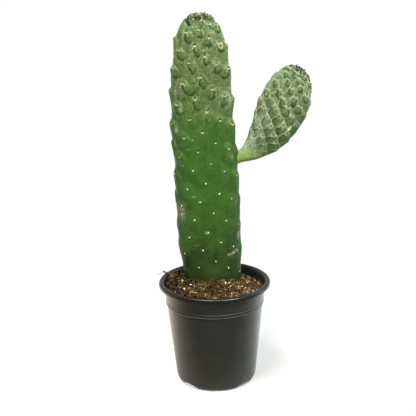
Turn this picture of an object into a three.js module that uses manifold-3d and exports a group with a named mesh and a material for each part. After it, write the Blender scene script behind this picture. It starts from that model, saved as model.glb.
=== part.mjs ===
// A potted paddle cactus: two flat green stem joints (pads) in a black nursery pot of peat mix.
// Millimetres, +Z up, the pot's foot stands on z = 0 and its axis is the Z axis.
import * as THREE from 'three';
import { mergeVertices } from 'three/addons/utils/BufferGeometryUtils.js';
import Module from 'manifold-3d';

const wasm = await Module();
wasm.setup();

// ---- driving dimensions ------------------------------------------------------------------

const CLEARANCE = 0.35;          // gap that neighbouring pieces keep

const POT_HEIGHT = 145;
const RIM_RADIUS = 77.5;         // outside of the rolled rim
const RIM_DROP = 5.8;            // how far the rolled rim hangs down
const POT_WALL = 1.5;
const COLLAR_BOTTOM = 114;       // the wall steps in below this height
const FOOT_RADIUS = 49.5;
const FLOOR_THICKNESS = 1.6;
const NOTCH_HEIGHT = 4.4;        // drain notches in the foot
const NOTCH_SPREAD = 27;         // degrees of each drain notch
const POT_SEGMENTS = 48;

const SOIL_LEVEL = 139.5;
const PERLITE_COUNT = 20;
const CHIP_COUNT = 9;

const PAD_DEPTH = 21;            // how far behind the pot's axis the pads stand
const FOOT_OF_STEM = 100;        // the buried end of the main pad

const SIDE_PAD_TILT = THREE.MathUtils.degToRad(32.2);   // lean of the side pad from upright
const SIDE_PAD_TURN = THREE.MathUtils.degToRad(14);     // its face looks a little left
const SIDE_PAD_ROOT = new THREE.Vector3(35, PAD_DEPTH, 310);

// ---- small helpers -----------------------------------------------------------------------

let randomState = 20611;

function random() {
  randomState = (randomState * 1664525 + 1013904223) % 4294967296;
  return randomState / 4294967296;
}

function smooth(from, to, value) {
  return THREE.MathUtils.smoothstep(value, from, to);
}

// smooth curve through [position, value] stations
function station(stations, position) {
  const last = stations.length - 1;
  if (position <= stations[0][0]) return stations[0][1];
  if (position >= stations[last][0]) return stations[last][1];
  let i = 0;
  while (position > stations[i + 1][0]) i += 1;
  const [x0, y0] = stations[i];
  const [x1, y1] = stations[i + 1];
  const slope = (a, b) => (stations[b][1] - stations[a][1]) / (stations[b][0] - stations[a][0]);
  const here = slope(i, i + 1);
  const before = i > 0 ? slope(i - 1, i) : here;
  const after = i < last - 1 ? slope(i + 1, i + 2) : here;
  const limit = (a, b) => (a * b <= 0 ? 0 : (2 * a * b) / (a + b));
  const m0 = limit(before, here) * (x1 - x0);
  const m1 = limit(here, after) * (x1 - x0);
  const t = (position - x0) / (x1 - x0);
  const t2 = t * t;
  const t3 = t2 * t;
  return (2 * t3 - 3 * t2 + 1) * y0 + (t3 - 2 * t2 + t) * m0
    + (3 * t2 - 2 * t3) * y1 + (t3 - t2) * m1;
}

function toSolid(geometry) {
  const plain = geometry.clone();
  plain.deleteAttribute('normal');
  if (plain.getAttribute('uv')) plain.deleteAttribute('uv');
  const merged = mergeVertices(plain, 1e-4);
  return new wasm.Manifold(new wasm.Mesh({
    numProp: 3,
    vertProperties: new Float32Array(merged.attributes.position.array),
    triVerts: new Uint32Array(merged.index.array),
  }));
}

function toGeometry(solid) {
  const mesh = solid.getMesh();
  const geometry = new THREE.BufferGeometry();
  geometry.setAttribute('position', new THREE.BufferAttribute(new Float32Array(mesh.vertProperties), 3));
  geometry.setIndex(new THREE.BufferAttribute(new Uint32Array(mesh.triVerts), 1));
  geometry.computeVertexNormals();
  return geometry;
}

// rings of points, from the low end to the high end, closed by a fan at each end; studs maps a
// cell to the points of a small raised knob: its four corners and its tip
function ringedGeometry(rings, lowPoint, highPoint, studs = new Map()) {
  const columns = rings[0].length;
  const positions = [];
  rings.forEach((ring) => ring.forEach((point) => positions.push(point.x, point.y, point.z)));
  const low = rings.length * columns;
  const high = low + 1;
  positions.push(lowPoint.x, lowPoint.y, lowPoint.z, highPoint.x, highPoint.y, highPoint.z);
  const faces = [];
  for (let i = 0; i < columns; i += 1) {
    const j = (i + 1) % columns;
    faces.push(low, j, i);
    for (let row = 0; row < rings.length - 1; row += 1) {
      const a = row * columns + i;
      const b = row * columns + j;
      const c = a + columns;
      const d = b + columns;
      const stud = studs.get(row * columns + i);
      if (stud) {
        const first = positions.length / 3;
        stud.forEach((point) => positions.push(point.x, point.y, point.z));
        const outer = [a, b, d, c];
        for (let k = 0; k < 4; k += 1) {
          const n = (k + 1) % 4;
          faces.push(outer[k], outer[n], first + n, outer[k], first + n, first + k);
          faces.push(first + k, first + n, first + 4);
        }
      } else if ((row + i) % 2 === 0) {
        faces.push(a, b, d, a, d, c);
      } else {
        faces.push(a, b, c, b, d, c);
      }
    }
    const top = (rings.length - 1) * columns;
    faces.push(high, top + i, top + j);
  }
  const geometry = new THREE.BufferGeometry();
  geometry.setAttribute('position', new THREE.Float32BufferAttribute(positions, 3));
  geometry.setIndex(faces);
  return geometry;
}

// ---- the pot -----------------------------------------------------------------------------

// [height, outer radius] of the wall, with the round corner above the foot
const WALL_OUTSIDE = [
  [0, FOOT_RADIUS],
  [1.2, 53.0],
  [3.8, 55.4],
  [8, 56.6],
  [COLLAR_BOTTOM - 0.6, 66.9],
  [COLLAR_BOTTOM + 0.4, 67.9],
  [POT_HEIGHT - 4.6, 70.3],
];

function wallOutside(z) {
  for (let i = 0; i < WALL_OUTSIDE.length - 1; i += 1) {
    const [z0, r0] = WALL_OUTSIDE[i];
    const [z1, r1] = WALL_OUTSIDE[i + 1];
    if (z <= z1) return r0 + ((r1 - r0) * Math.max(0, z - z0)) / (z1 - z0);
  }
  return WALL_OUTSIDE[WALL_OUTSIDE.length - 1][1];
}

function buildPot() {
  const profile = [[0, 0]];
  WALL_OUTSIDE.forEach(([z, r]) => profile.push([r, z]));
  // the rolled rim turns out, over and down, and stays open underneath
  profile.push([70.8, POT_HEIGHT - 2.6]);
  profile.push([72.4, POT_HEIGHT - 1.6]);
  profile.push([74.8, POT_HEIGHT - 1.7]);
  profile.push([75.9, POT_HEIGHT - 3.0]);
  profile.push([76.1, POT_HEIGHT - RIM_DROP]);
  profile.push([77.3, POT_HEIGHT - RIM_DROP]);
  profile.push([RIM_RADIUS, POT_HEIGHT - 2.6]);
  profile.push([76.4, POT_HEIGHT - 0.7]);
  profile.push([74.6, POT_HEIGHT]);
  profile.push([72.4, POT_HEIGHT]);
  profile.push([70.6, POT_HEIGHT - 0.9]);
  profile.push([69.4, POT_HEIGHT - 3.0]);
  profile.push([68.8, POT_HEIGHT - 5.4]);
  profile.push([67.9 - POT_WALL, COLLAR_BOTTOM + 0.4]);
  profile.push([66.9 - POT_WALL, COLLAR_BOTTOM - 0.6]);
  profile.push([56.6 - POT_WALL, 8.6]);
  profile.push([52.6, 4.0]);
  profile.push([48.6, FLOOR_THICKNESS]);
  profile.push([0, FLOOR_THICKNESS]);
  const points = profile.map(([r, z]) => new THREE.Vector2(r, z));
  const shell = new THREE.LatheGeometry(points, POT_SEGMENTS);
  shell.rotateX(Math.PI / 2);
  let pot = toSolid(shell);
  // the same turned outside, filled, trims the raised housings over the drain notches
  const filled = [new THREE.Vector2(0, 0)];
  WALL_OUTSIDE.slice(0, 5).forEach(([z, r]) => filled.push(new THREE.Vector2(r - 0.4, z + (z === 0 ? 0.2 : 0))));
  filled.push(new THREE.Vector2(0, COLLAR_BOTTOM - 0.6));
  const filledGeometry = new THREE.LatheGeometry(filled, POT_SEGMENTS);
  filledGeometry.rotateX(Math.PI / 2);
  const inside = toSolid(filledGeometry);
  const sector = (inner, outer, low, high, spread, middle) => {
    const half = THREE.MathUtils.degToRad(spread / 2);
    const centre = THREE.MathUtils.degToRad(middle);
    const shape = new THREE.Shape();
    const steps = 4;
    for (let i = 0; i <= steps; i += 1) {
      const angle = centre - half + (2 * half * i) / steps;
      const x = outer * Math.cos(angle);
      const y = outer * Math.sin(angle);
      if (i === 0) shape.moveTo(x, y);
      else shape.lineTo(x, y);
    }
    for (let i = steps; i >= 0; i -= 1) {
      const angle = centre - half + (2 * half * i) / steps;
      shape.lineTo(inner * Math.cos(angle), inner * Math.sin(angle));
    }
    const block = new THREE.ExtrudeGeometry(shape, { depth: high - low, bevelEnabled: false });
    block.translate(0, 0, low);
    return toSolid(block);
  };
  for (let side = 0; side < 4; side += 1) {
    const diagonal = -45 + 90 * side;
    const front = -90 + 90 * side;
    const housing = sector(41.6, 58, 0.4, NOTCH_HEIGHT + 1.5, NOTCH_SPREAD + 4, diagonal);
    pot = pot.add(housing.intersect(inside));
    pot = pot.subtract(sector(43.2, 60, -1, NOTCH_HEIGHT, NOTCH_SPREAD, diagonal));
    pot = pot.subtract(sector(46, 51, NOTCH_HEIGHT - 1, NOTCH_HEIGHT + 4, 12, diagonal));
    pot = pot.subtract(sector(47.4, 60, -1, 0.9, 10, front));
  }
  return toGeometry(pot);
}

// ---- the pads ----------------------------------------------------------------------------

// A pad is a flat rounded stem joint round a straight axis. Its section is a superellipse, its
// outline follows stations along the axis, and its surface carries bumps set on one spiral: each
// has an arched brow, a short drop above it and a long face that slopes away below it.
class Pad {
  constructor(options) {
    Object.assign(this, options);
    this.tables = new Map();
  }

  // perimeter of the section, and the section angle at a given share of it
  section(along) {
    const key = Math.round(along * 20);
    if (this.tables.has(key)) return this.tables.get(key);
    const steps = 240;
    const half = Math.max(0.05, station(this.halfWidth, along));
    const thick = Math.max(0.05, station(this.halfThickness, along));
    const xs = [];
    const ys = [];
    const lengths = [0];
    for (let i = 0; i <= steps; i += 1) {
      const angle = Math.PI + (2 * Math.PI * i) / steps;
      const c = Math.cos(angle);
      const s = Math.sin(angle);
      xs.push(half * Math.sign(c) * Math.abs(c) ** (2 / this.squareness));
      ys.push(thick * Math.sign(s) * Math.abs(s) ** (2 / this.squareness));
      if (i > 0) lengths.push(lengths[i - 1] + Math.hypot(xs[i] - xs[i - 1], ys[i] - ys[i - 1]));
    }
    const table = { xs, ys, lengths, girth: lengths[steps] };
    this.tables.set(key, table);
    return table;
  }

  // point of the plain surface: share 0 left edge, 0.25 front, 0.5 right edge, 0.75 back
  base(share, along) {
    const table = this.section(along);
    const wanted = (share - Math.floor(share)) * table.girth;
    let i = 0;
    while (i < table.lengths.length - 2 && table.lengths[i + 1] < wanted) i += 1;
    const t = (wanted - table.lengths[i]) / (table.lengths[i + 1] - table.lengths[i] || 1);
    const x = table.xs[i] + t * (table.xs[i + 1] - table.xs[i]) + station(this.centre, along);
    const y = table.ys[i] + t * (table.ys[i + 1] - table.ys[i]);
    return new THREE.Vector3().copy(this.root)
      .addScaledVector(this.axis, along - this.rootAlong)
      .addScaledVector(this.side, x)
      .addScaledVector(this.back, y);
  }

  normal(share, along) {
    const low = Math.max(this.start + 0.6, along - 1.2);
    const high = Math.min(this.end - 0.6, along + 1.2);
    const across = this.base(share + 0.006, Math.min(along, this.end - 0.5))
      .sub(this.base(share - 0.006, Math.min(along, this.end - 0.5)));
    const up = this.base(share, high).sub(this.base(share, low));
    return across.cross(up).normalize();
  }

  relief(share, along) {
    const girth = this.section(along).girth;
    const high = Math.min(this.end - 0.3, along + 1);
    const low = Math.min(high - 1, along - 1);
    const stretch = this.base(share, high).distanceTo(this.base(share, low)) / (high - low);
    let height = 0;
    this.bumps.forEach((bump) => {
      const gap = share - bump.share;
      const across = (gap - Math.round(gap)) * girth;
      if (Math.abs(across) >= this.reach) return;
      const beyond = (along - bump.along) * Math.min(stretch, 2.2) + this.arch * across * across;
      const fall = beyond > 0 ? 1 - beyond / this.rise : 1 + beyond / this.slope;
      if (fall <= 0) return;
      const fade = 1 - smooth(0.72, 1, Math.abs(across) / this.reach);
      height = Math.max(height, bump.height * fall * fade);
    });
    return height;
  }

  point(share, along, grow = 0) {
    const out = this.relief(share, along) + grow;
    return this.base(share, along).addScaledVector(this.normal(share, along), out);
  }

  solid(grow = 0) {
    const rings = this.rows.map((along) => {
      const ring = [];
      for (let i = 0; i < this.columns; i += 1) ring.push(this.point(i / this.columns, along, grow));
      return ring;
    });
    const low = this.base(0, this.start);
    const high = this.base(0, this.end);
    low.copy(this.root).addScaledVector(this.axis, this.start - this.rootAlong - grow)
      .addScaledVector(this.side, station(this.centre, this.start));
    high.copy(this.root).addScaledVector(this.axis, this.end - this.rootAlong + grow + 0.8)
      .addScaledVector(this.side, station(this.centre, this.end));
    return toSolid(ringedGeometry(rings, low, high, this.studs(rings, grow)));
  }

  // felt spots: one low knob on the brow of every bump, set inside the cell that it falls in
  studs(rings, grow) {
    const cells = new Map();
    this.bumps.forEach((bump) => {
      if (!bump.felt) return;
      const column = Math.floor(bump.share * this.columns) % this.columns;
      let row = 0;
      while (row < this.rows.length - 2 && this.rows[row + 1] < bump.along) row += 1;
      const key = row * this.columns + column;
      if (cells.has(key)) return;
      const next = (column + 1) % this.columns;
      const a = rings[row][column];
      const b = rings[row][next];
      const c = rings[row + 1][column];
      const d = rings[row + 1][next];
      const inCell = (value) => Math.min(0.66, Math.max(0.34, value));
      const s = inCell(bump.share * this.columns - column);
      const t = inCell((bump.along - this.rows[row]) / (this.rows[row + 1] - this.rows[row]));
      const at = (u, v) => new THREE.Vector3()
        .addScaledVector(a, (1 - u) * (1 - v)).addScaledVector(b, u * (1 - v))
        .addScaledVector(c, (1 - u) * v).addScaledVector(d, u * v);
      const normal = new THREE.Vector3().subVectors(d, a)
        .cross(new THREE.Vector3().subVectors(c, b)).normalize();
      const reachU = Math.min(0.28, this.feltRadius / a.distanceTo(b));
      const reachV = Math.min(0.28, this.feltRadius / a.distanceTo(c));
      const corners = [[-1, -1], [1, -1], [1, 1], [-1, 1]].map(([x, y]) => at(
        s + x * reachU,
        t + y * reachV,
      ).addScaledVector(normal, 0.55));
      corners.push(at(s, t).addScaledVector(normal, this.feltRadius * 1.05));
      cells.set(key, corners);
    });
    return cells;
  }
}

// one spiral of bumps: the share of the girth turns by a fixed part at every step, and the rows
// slope down from the left edge to the right one on either face
function spiral(first, last, rule) {
  const bumps = [];
  for (let step = first; step <= last; step += 1) {
    const turned = rule.phase + rule.divergence * step;
    const share = turned - Math.floor(turned);
    const along = rule.along(step, share);
    bumps.push({ share, along, height: rule.height(along), felt: rule.felt(along) });
  }
  return bumps;
}

const mainPad = new Pad({
  axis: new THREE.Vector3(0, 0, 1),
  side: new THREE.Vector3(1, 0, 0),
  back: new THREE.Vector3(0, 1, 0),
  root: new THREE.Vector3(0, PAD_DEPTH, 0),
  rootAlong: 0,
  start: FOOT_OF_STEM,
  end: 503.5,
  squareness: 2.35,
  columns: 42,
  reach: 11.5,
  arch: 0.075,
  rise: 4.4,
  slope: 27,
  feltRadius: 2.1,
  centre: [[100, 0], [145, -1], [165, -3.3], [240, -6.4], [300, -7.6], [370, -11.4],
    [440, -11.8], [480, -12], [504, -12.2]],
  halfWidth: [[100, 8], [108, 16], [120, 27], [131, 34.6], [141, 37.6], [165, 41.4], [200, 43.4], [250, 43.2],
    [300, 42.4], [360, 41], [400, 40], [430, 37.2], [452, 34.6], [470, 31.2], [484, 26], [494, 19],
    [500, 12], [503.5, 3]],
  halfThickness: [[100, 6], [108, 10], [122, 13.5], [141, 15.5], [200, 15.5], [300, 14.5],
    [400, 13.2], [452, 12], [480, 10], [494, 7.5], [500, 5], [503.5, 1.5]],
});
mainPad.rows = [100.5, 106, 114, 124, 133, 139];
for (let along = 143.5; along < 474; along += 5) mainPad.rows.push(along);
mainPad.rows.push(477, 481, 485, 488.5, 492, 495, 497.6, 500, 502);
mainPad.bumps = spiral(-58, 77, {
  phase: 0.2437,
  divergence: -0.3044,
  along: (step, share) => {
    const behind = share > 0.57 && share < 0.93;
    const angle = 2 * Math.PI * (behind ? share - 0.5 : share);
    const crowded = Math.max(0, -36 - step);
    const even = 362.2 - 3 * step - 0.045 * crowded * crowded + (behind ? 12 : 0);
    const tipped = even + 12.8 * Math.cos(angle) - 13.7 * Math.sin(angle);
    return Math.min(tipped, 496 + 0.12 * (tipped - 496));
  },
  height: (along) => 1.2 + 2.8 * smooth(170, 380, along) - 1 * smooth(470, 500, along),
  felt: (along) => along > 146,
});

const sideAxis = new THREE.Vector3(Math.sin(SIDE_PAD_TILT), 0, Math.cos(SIDE_PAD_TILT));
const sideFlat = new THREE.Vector3(Math.cos(SIDE_PAD_TILT), 0, -Math.sin(SIDE_PAD_TILT));
sideFlat.applyAxisAngle(sideAxis, -SIDE_PAD_TURN);
const sideBack = new THREE.Vector3().crossVectors(sideAxis, sideFlat);

const sidePad = new Pad({
  axis: sideAxis,
  side: sideFlat,
  back: sideBack,
  root: SIDE_PAD_ROOT,
  rootAlong: 0,
  start: -5,
  end: 148.5,
  squareness: 2.2,
  columns: 32,
  reach: 7.6,
  arch: 0.11,
  rise: 3.2,
  slope: 17,
  feltRadius: 1.5,
  centre: [[-5, 0], [0, 1.2], [8, 5.6], [15, 9.7], [25, 13.5], [40, 17], [55, 17.5], [70, 16.5],
    [85, 15.5], [100, 13.5], [130, 10.2], [148.5, 7.6]],
  halfWidth: [[-5, 3], [0, 6.4], [8, 10.4], [15, 13], [25, 16.6], [40, 22], [55, 26.4],
    [70, 30], [85, 32.2], [100, 32.4], [115, 30.2], [130, 24.6], [138, 19], [143, 13.4], [146.4, 8],
    [148.5, 2.5]],
  halfThickness: [[-5, 3], [0, 5], [8, 6.2], [25, 7], [60, 8], [110, 7.6], [136, 6], [144, 4],
    [148.5, 1.2]],
});
sidePad.rows = [-4.4, -1, 3, 7, 11, 15];
for (let along = 19; along < 136; along += 4.3) sidePad.rows.push(along);
sidePad.rows.push(137, 140, 142.6, 144.8, 146.6, 147.9);
sidePad.bumps = spiral(-30, 66, {
  phase: 0.1485,
  divergence: 0.8154,
  along: (step, share) => {
    const crowded = Math.max(0, -12 - step);
    const even = 111.2 - 1.513 * step - 0.03 * crowded * crowded;
    return Math.min(even - 1.8 * Math.sin(2 * Math.PI * share), 144);
  },
  height: (along) => 0.5 + 1.8 * smooth(20, 60, along) - 0.5 * smooth(130, 148, along),
  felt: (along) => along > 24,
});

// small fleshy leaves stand round the growing tip
function addCrown(body, pad, count, size) {
  let result = body;
  for (let i = 0; i < count; i += 1) {
    const share = (i * 0.382) % 1;
    const along = pad.end - 2 - (i * 1.15) * size;
    const height = (4.6 + 2.6 * random()) * size;
    const leaf = new THREE.ConeGeometry(1.7 * size, height, 5);
    leaf.rotateX(Math.PI / 2);
    const normal = pad.normal(share, along).addScaledVector(pad.axis, 1.1).normalize();
    const turn = new THREE.Quaternion().setFromUnitVectors(new THREE.Vector3(0, 0, 1), normal);
    leaf.applyQuaternion(turn);
    const seat = pad.point(share, along).addScaledVector(normal, height * 0.5 - 2.6 * size);
    leaf.translate(seat.x, seat.y, seat.z);
    result = result.add(toSolid(leaf));
  }
  return result;
}

const mainBody = addCrown(mainPad.solid(), mainPad, 15, 1);
const sideBody = addCrown(sidePad.solid(), sidePad, 9, 0.75);
const mainGrown = mainPad.solid(CLEARANCE);

// ---- the soil ----------------------------------------------------------------------------

function soilTop(x, y) {
  const reach = Math.hypot(x, y) / 68;
  const leftBack = Math.max(0, (-x * 0.8 + y * 0.6) / 68);
  const rightBack = Math.max(0, (x * 0.85 + y * 0.53) / 68);
  const waves = 0.9 * Math.sin(x / 7.3 + 1.1) * Math.cos(y / 6.1) + 0.6 * Math.sin((x + y) / 4.4);
  return SOIL_LEVEL + 3.6 * leftBack * leftBack - 9.5 * rightBack * rightBack
    - 0.8 * reach + waves;
}

function buildSoil() {
  const columns = 40;
  const inner = 40.8;
  const lowWall = NOTCH_HEIGHT + 1.5 + CLEARANCE;
  const radiusAt = (z) => Math.min(68.8, wallOutside(z) - POT_WALL) - CLEARANCE - 0.15;
  const circle = (radius, z) => {
    const ring = [];
    for (let i = 0; i < columns; i += 1) {
      const angle = (2 * Math.PI * i) / columns;
      const height = typeof z === 'function' ? z(radius * Math.cos(angle), radius * Math.sin(angle)) : z;
      ring.push(new THREE.Vector3(radius * Math.cos(angle), radius * Math.sin(angle), height));
    }
    return ring;
  };
  // where the soil meets the wall its edge follows the taper
  const edge = circle(66, (x, y) => soilTop(x, y) - 0.5);
  edge.forEach((point) => {
    const wider = radiusAt(point.z) / 66;
    point.x *= wider;
    point.y *= wider;
  });
  const rings = [
    circle(inner, FLOOR_THICKNESS + CLEARANCE),
    circle(inner, lowWall),
    circle(50.8, lowWall),
    circle(radiusAt(11), 11),
    circle(radiusAt(COLLAR_BOTTOM - 1.2), COLLAR_BOTTOM - 1.2),
    circle(radiusAt(COLLAR_BOTTOM - 1.2), COLLAR_BOTTOM + 1),
    edge,
    circle(62, soilTop),
    circle(54, soilTop),
    circle(45, soilTop),
    circle(36, soilTop),
    circle(26, soilTop),
    circle(15, soilTop),
    circle(6, soilTop),
  ];
  const middle = new THREE.Vector3(0, 0, soilTop(0, 0));
  let soil = toSolid(ringedGeometry(rings, new THREE.Vector3(0, 0, FLOOR_THICKNESS + CLEARANCE), middle));
  const place = (clear) => {
    for (let tries = 0; tries < 60; tries += 1) {
      const angle = 2 * Math.PI * random();
      const radius = 64 * Math.sqrt(random());
      const x = radius * Math.cos(angle);
      const y = radius * Math.sin(angle);
      if (Math.hypot((x + 1) / (40 + clear), (y - PAD_DEPTH) / (18 + clear)) > 1) return [x, y];
    }
    return [0, -40];
  };
  // perlite grains and bark chips lie half sunk in the surface
  for (let i = 0; i < PERLITE_COUNT; i += 1) {
    const [x, y] = place(3);
    const size = 1.3 + 1.5 * random();
    const grain = new THREE.OctahedronGeometry(size * 1.15, 0);
    grain.scale(1, 0.8 + 0.3 * random(), 0.75);
    grain.rotateZ(6.28 * random());
    grain.translate(x, y, soilTop(x, y) + size * 0.15);
    soil = soil.add(toSolid(grain));
  }
  for (let i = 0; i < CHIP_COUNT; i += 1) {
    const [x, y] = place(7);
    const chip = new THREE.BoxGeometry(5 + 3 * random(), 2.4 + 1.5 * random(), 1.6);
    chip.rotateX(0.5 * random() - 0.25);
    chip.rotateZ(6.28 * random());
    chip.translate(x * 0.92, y * 0.92, soilTop(x * 0.92, y * 0.92) + 0.5);
    soil = soil.add(toSolid(chip));
  }
  // the plain hole that the stem stands in
  return toGeometry(soil.subtract(mainGrown));
}

// ---- the object --------------------------------------------------------------------------

function piece(name, geometry, color, roughness) {
  const material = new THREE.MeshStandardMaterial({ color, roughness, metalness: 0, flatShading: true });
  const mesh = new THREE.Mesh(geometry, material);
  mesh.name = name;
  return mesh;
}

const cactus = new THREE.Group();
cactus.add(piece('pot', buildPot(), 0x2c2d2a, 0.5));
cactus.add(piece('soil', buildSoil(), 0x5b4331, 0.95));
cactus.add(piece('main_pad', toGeometry(mainBody), 0x55803f, 0.6));
cactus.add(piece('side_pad', toGeometry(sideBody.subtract(mainGrown)), 0x8fa66f, 0.6));

export default cactus;
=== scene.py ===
import math

import bpy
import numpy as np
from mathutils import Matrix, Vector


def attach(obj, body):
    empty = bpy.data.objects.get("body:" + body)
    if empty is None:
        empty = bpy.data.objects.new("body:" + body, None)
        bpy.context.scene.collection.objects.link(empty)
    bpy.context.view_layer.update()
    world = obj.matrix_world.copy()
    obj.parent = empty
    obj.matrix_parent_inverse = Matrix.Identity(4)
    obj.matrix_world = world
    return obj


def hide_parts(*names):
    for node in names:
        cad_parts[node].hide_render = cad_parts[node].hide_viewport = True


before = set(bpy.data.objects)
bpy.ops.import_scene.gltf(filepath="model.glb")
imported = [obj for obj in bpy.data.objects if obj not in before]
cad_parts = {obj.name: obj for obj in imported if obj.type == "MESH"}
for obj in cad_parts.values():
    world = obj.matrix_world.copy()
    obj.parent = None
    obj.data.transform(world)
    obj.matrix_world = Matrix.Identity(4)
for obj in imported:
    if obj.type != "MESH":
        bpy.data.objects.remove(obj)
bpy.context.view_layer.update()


# ---- Camera ------------------------------------------------------------------------------
# A short telephoto about a metre in front of the plant, half a metre up, that looks 15 degrees
# down and leans a little to one side.
LOOK_DOWN = 0.262
CAMERA_ROLL = -0.024
bpy.ops.object.camera_add(location=(-0.0066, -0.9658, 0.5069))
camera = bpy.context.object
camera.name = "studio_camera"
camera.data.lens = 63.7
camera.data.sensor_width = 36
camera.data.clip_start = 0.05
camera.data.clip_end = 60
sight_up = Vector((0, math.sin(LOOK_DOWN), math.cos(LOOK_DOWN)))
sight_back = Vector((0, -math.cos(LOOK_DOWN), math.sin(LOOK_DOWN)))
sight_right = Vector((1, 0, 0))
rolled_right = sight_right * math.cos(CAMERA_ROLL) + sight_up * math.sin(CAMERA_ROLL)
rolled_up = sight_up * math.cos(CAMERA_ROLL) - sight_right * math.sin(CAMERA_ROLL)
sight = Matrix((rolled_right, rolled_up, sight_back)).transposed()
camera.rotation_mode = "QUATERNION"
camera.rotation_quaternion = sight.to_quaternion()
bpy.context.scene.camera = camera


# ---- Studio ------------------------------------------------------------------------------
# A white room and floor: a key light high at the front right, a soft one above at the front left,
# a tall cool one behind at the right, and a lit floor behind the pot, warm left and cool right.
bpy.context.scene.view_settings.view_transform = "Standard"
bpy.context.scene.view_settings.look = "None"


def plug(tree, node, sockets):
    # each socket takes a value, another node's output, or the first output of a node
    for socket, value in sockets.items():
        if isinstance(value, bpy.types.Node):
            value = value.outputs[0]
        if isinstance(value, bpy.types.NodeSocket):
            tree.links.new(value, node.inputs[socket])
        elif node.inputs[socket].type == "RGBA":
            node.inputs[socket].default_value = (*value, 1)
        else:
            node.inputs[socket].default_value = value


def add_node(tree, kind, sockets=None, **settings):
    node = tree.nodes.new("ShaderNode" + kind)
    for setting, value in settings.items():
        setattr(node, setting, value)
    plug(tree, node, sockets or {})
    return node


def add_range(tree, source, from_low, from_high, to_low=0, to_high=1, **settings):
    spans = {"From Min": from_low, "From Max": from_high, "To Min": to_low, "To Max": to_high}
    return add_node(tree, "MapRange", {"Value": source, **spans}, **settings).outputs["Result"]


def add_math(tree, operation, first, second=0):
    # a product is kept between 0 and 1
    clamped = operation == "MULTIPLY"
    node = add_node(tree, "Math", {0: first, 1: second}, operation=operation, use_clamp=clamped)
    return node.outputs[0]


def add_layers(tree, colour, *layers):
    # one colour after another over the first, each by its share
    for share, over in layers:
        mix = add_node(tree, "Mix", data_type="RGBA")
        plug(tree, mix, {"Factor": share, 6: colour, 7: over})
        colour = mix.outputs[2]
    return colour


def add_place(tree, coordinate="Object"):
    place = add_node(tree, "TexCoord").outputs[coordinate]
    return add_node(tree, "SeparateXYZ", {"Vector": place}).outputs


def cleared(block):
    block.use_nodes = True
    block.node_tree.nodes.clear()
    return block.node_tree


def cast_and_seen(tree, output, cast, seen):
    # one shader gives the light that falls on the plant, the other is what the camera sees
    by_camera = add_node(tree, "LightPath").outputs["Is Camera Ray"]
    add_node(tree, output, {"Surface": add_node(tree, "MixShader", {"Fac": by_camera, 1: cast, 2: seen})})


room = bpy.data.worlds.new("white_room")
bpy.context.scene.world = room
tree = cleared(room)
room_strength = add_range(tree, add_place(tree, "Generated")["Y"], -1, 1, 0.05, 0.70)
room_glow = add_node(tree, "Background", {"Color": (0.97, 0.985, 1.0), "Strength": room_strength})
room_seen = add_node(tree, "Background", {"Color": (1, 1, 1), "Strength": 1.0})
cast_and_seen(tree, "OutputWorld", room_glow, room_seen)


def softbox(name, place, aim, width, height, power, tint):
    bpy.ops.object.light_add(type="AREA", location=place)
    lamp = bpy.context.object
    lamp.name = name
    lamp.data.shape = "RECTANGLE"
    lamp.data.size = width
    lamp.data.size_y = height
    lamp.data.energy = power
    lamp.data.color = tint
    lamp.rotation_mode = "QUATERNION"
    lamp.rotation_quaternion = (Vector(aim) - Vector(place)).to_track_quat("-Z", "Y")


softbox("light_key", (0.65, -0.75, 1.35), (0, 0, 0.28), 0.30, 0.30, 21, (1.0, 0.985, 0.95))
softbox("light_above", (-0.30, -0.50, 1.5), (0, 0, 0.15), 0.5, 0.5, 17, (1.0, 0.985, 0.95))
softbox("light_edge", (1.05, 0.30, 0.75), (0, 0, 0.32), 0.30, 0.7, 3, (0.90, 0.97, 1.0))


def primitive(name, add, location=(0, 0, 0), **shape):
    # a primitive by itself, with its place in its mesh
    bpy.ops.object.select_all(action="DESELECT")
    add(location=location, **shape)
    piece = bpy.context.object
    piece.name = name
    bpy.ops.object.transform_apply(location=True, rotation=True, scale=True)
    return piece


# the camera sees a white floor that is shaded only near the pot, where its left side glows a
# little; reflections see it dark in front of the pot and lit behind it
floor = primitive("floor", bpy.ops.mesh.primitive_plane_add, size=14, location=(0, 3, 0))
floor_paint = bpy.data.materials.new("white_floor")
tree = cleared(floor_paint)
floor_place = add_place(tree)
left_glow = add_range(tree, floor_place["X"], 0, 0.06, 0.6, 0)
floor_near = add_node(tree, "AddShader", {
    0: add_node(tree, "BsdfDiffuse", {"Color": (0.79, 0.80, 0.805)}),
    1: add_node(tree, "Emission", {"Color": (0.97, 1.0, 1.0), "Strength": left_glow}),
})
floor_far = add_node(tree, "Emission", {"Color": (1, 1, 1), "Strength": 1.02})
floor_spot = add_node(tree, "TexCoord").outputs["Object"]
from_pot = add_node(tree, "VectorMath", {0: floor_spot}, operation="LENGTH").outputs["Value"]
far_off = add_range(tree, from_pot, 0.10, 0.22, interpolation_type="SMOOTHSTEP")
floor_seen = add_node(tree, "MixShader", {"Fac": far_off, 1: floor_near, 2: floor_far})
to_right = add_range(tree, floor_place["X"], -0.15, 0.15)
sheen_tint = add_layers(tree, (1.0, 0.86, 0.70), (to_right, (0.80, 0.90, 0.93)))
sheen_strength = add_range(tree, floor_place["Y"], -0.12, 0.12, 0, 1.7)
floor_cast = add_node(tree, "AddShader", {
    0: add_node(tree, "BsdfDiffuse", {"Color": (0.235, 0.235, 0.23)}),
    1: add_node(tree, "Emission", {"Color": sheen_tint, "Strength": sheen_strength}),
})
cast_and_seen(tree, "OutputMaterial", floor_cast, floor_seen)
floor.data.materials.append(floor_paint)


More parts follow.
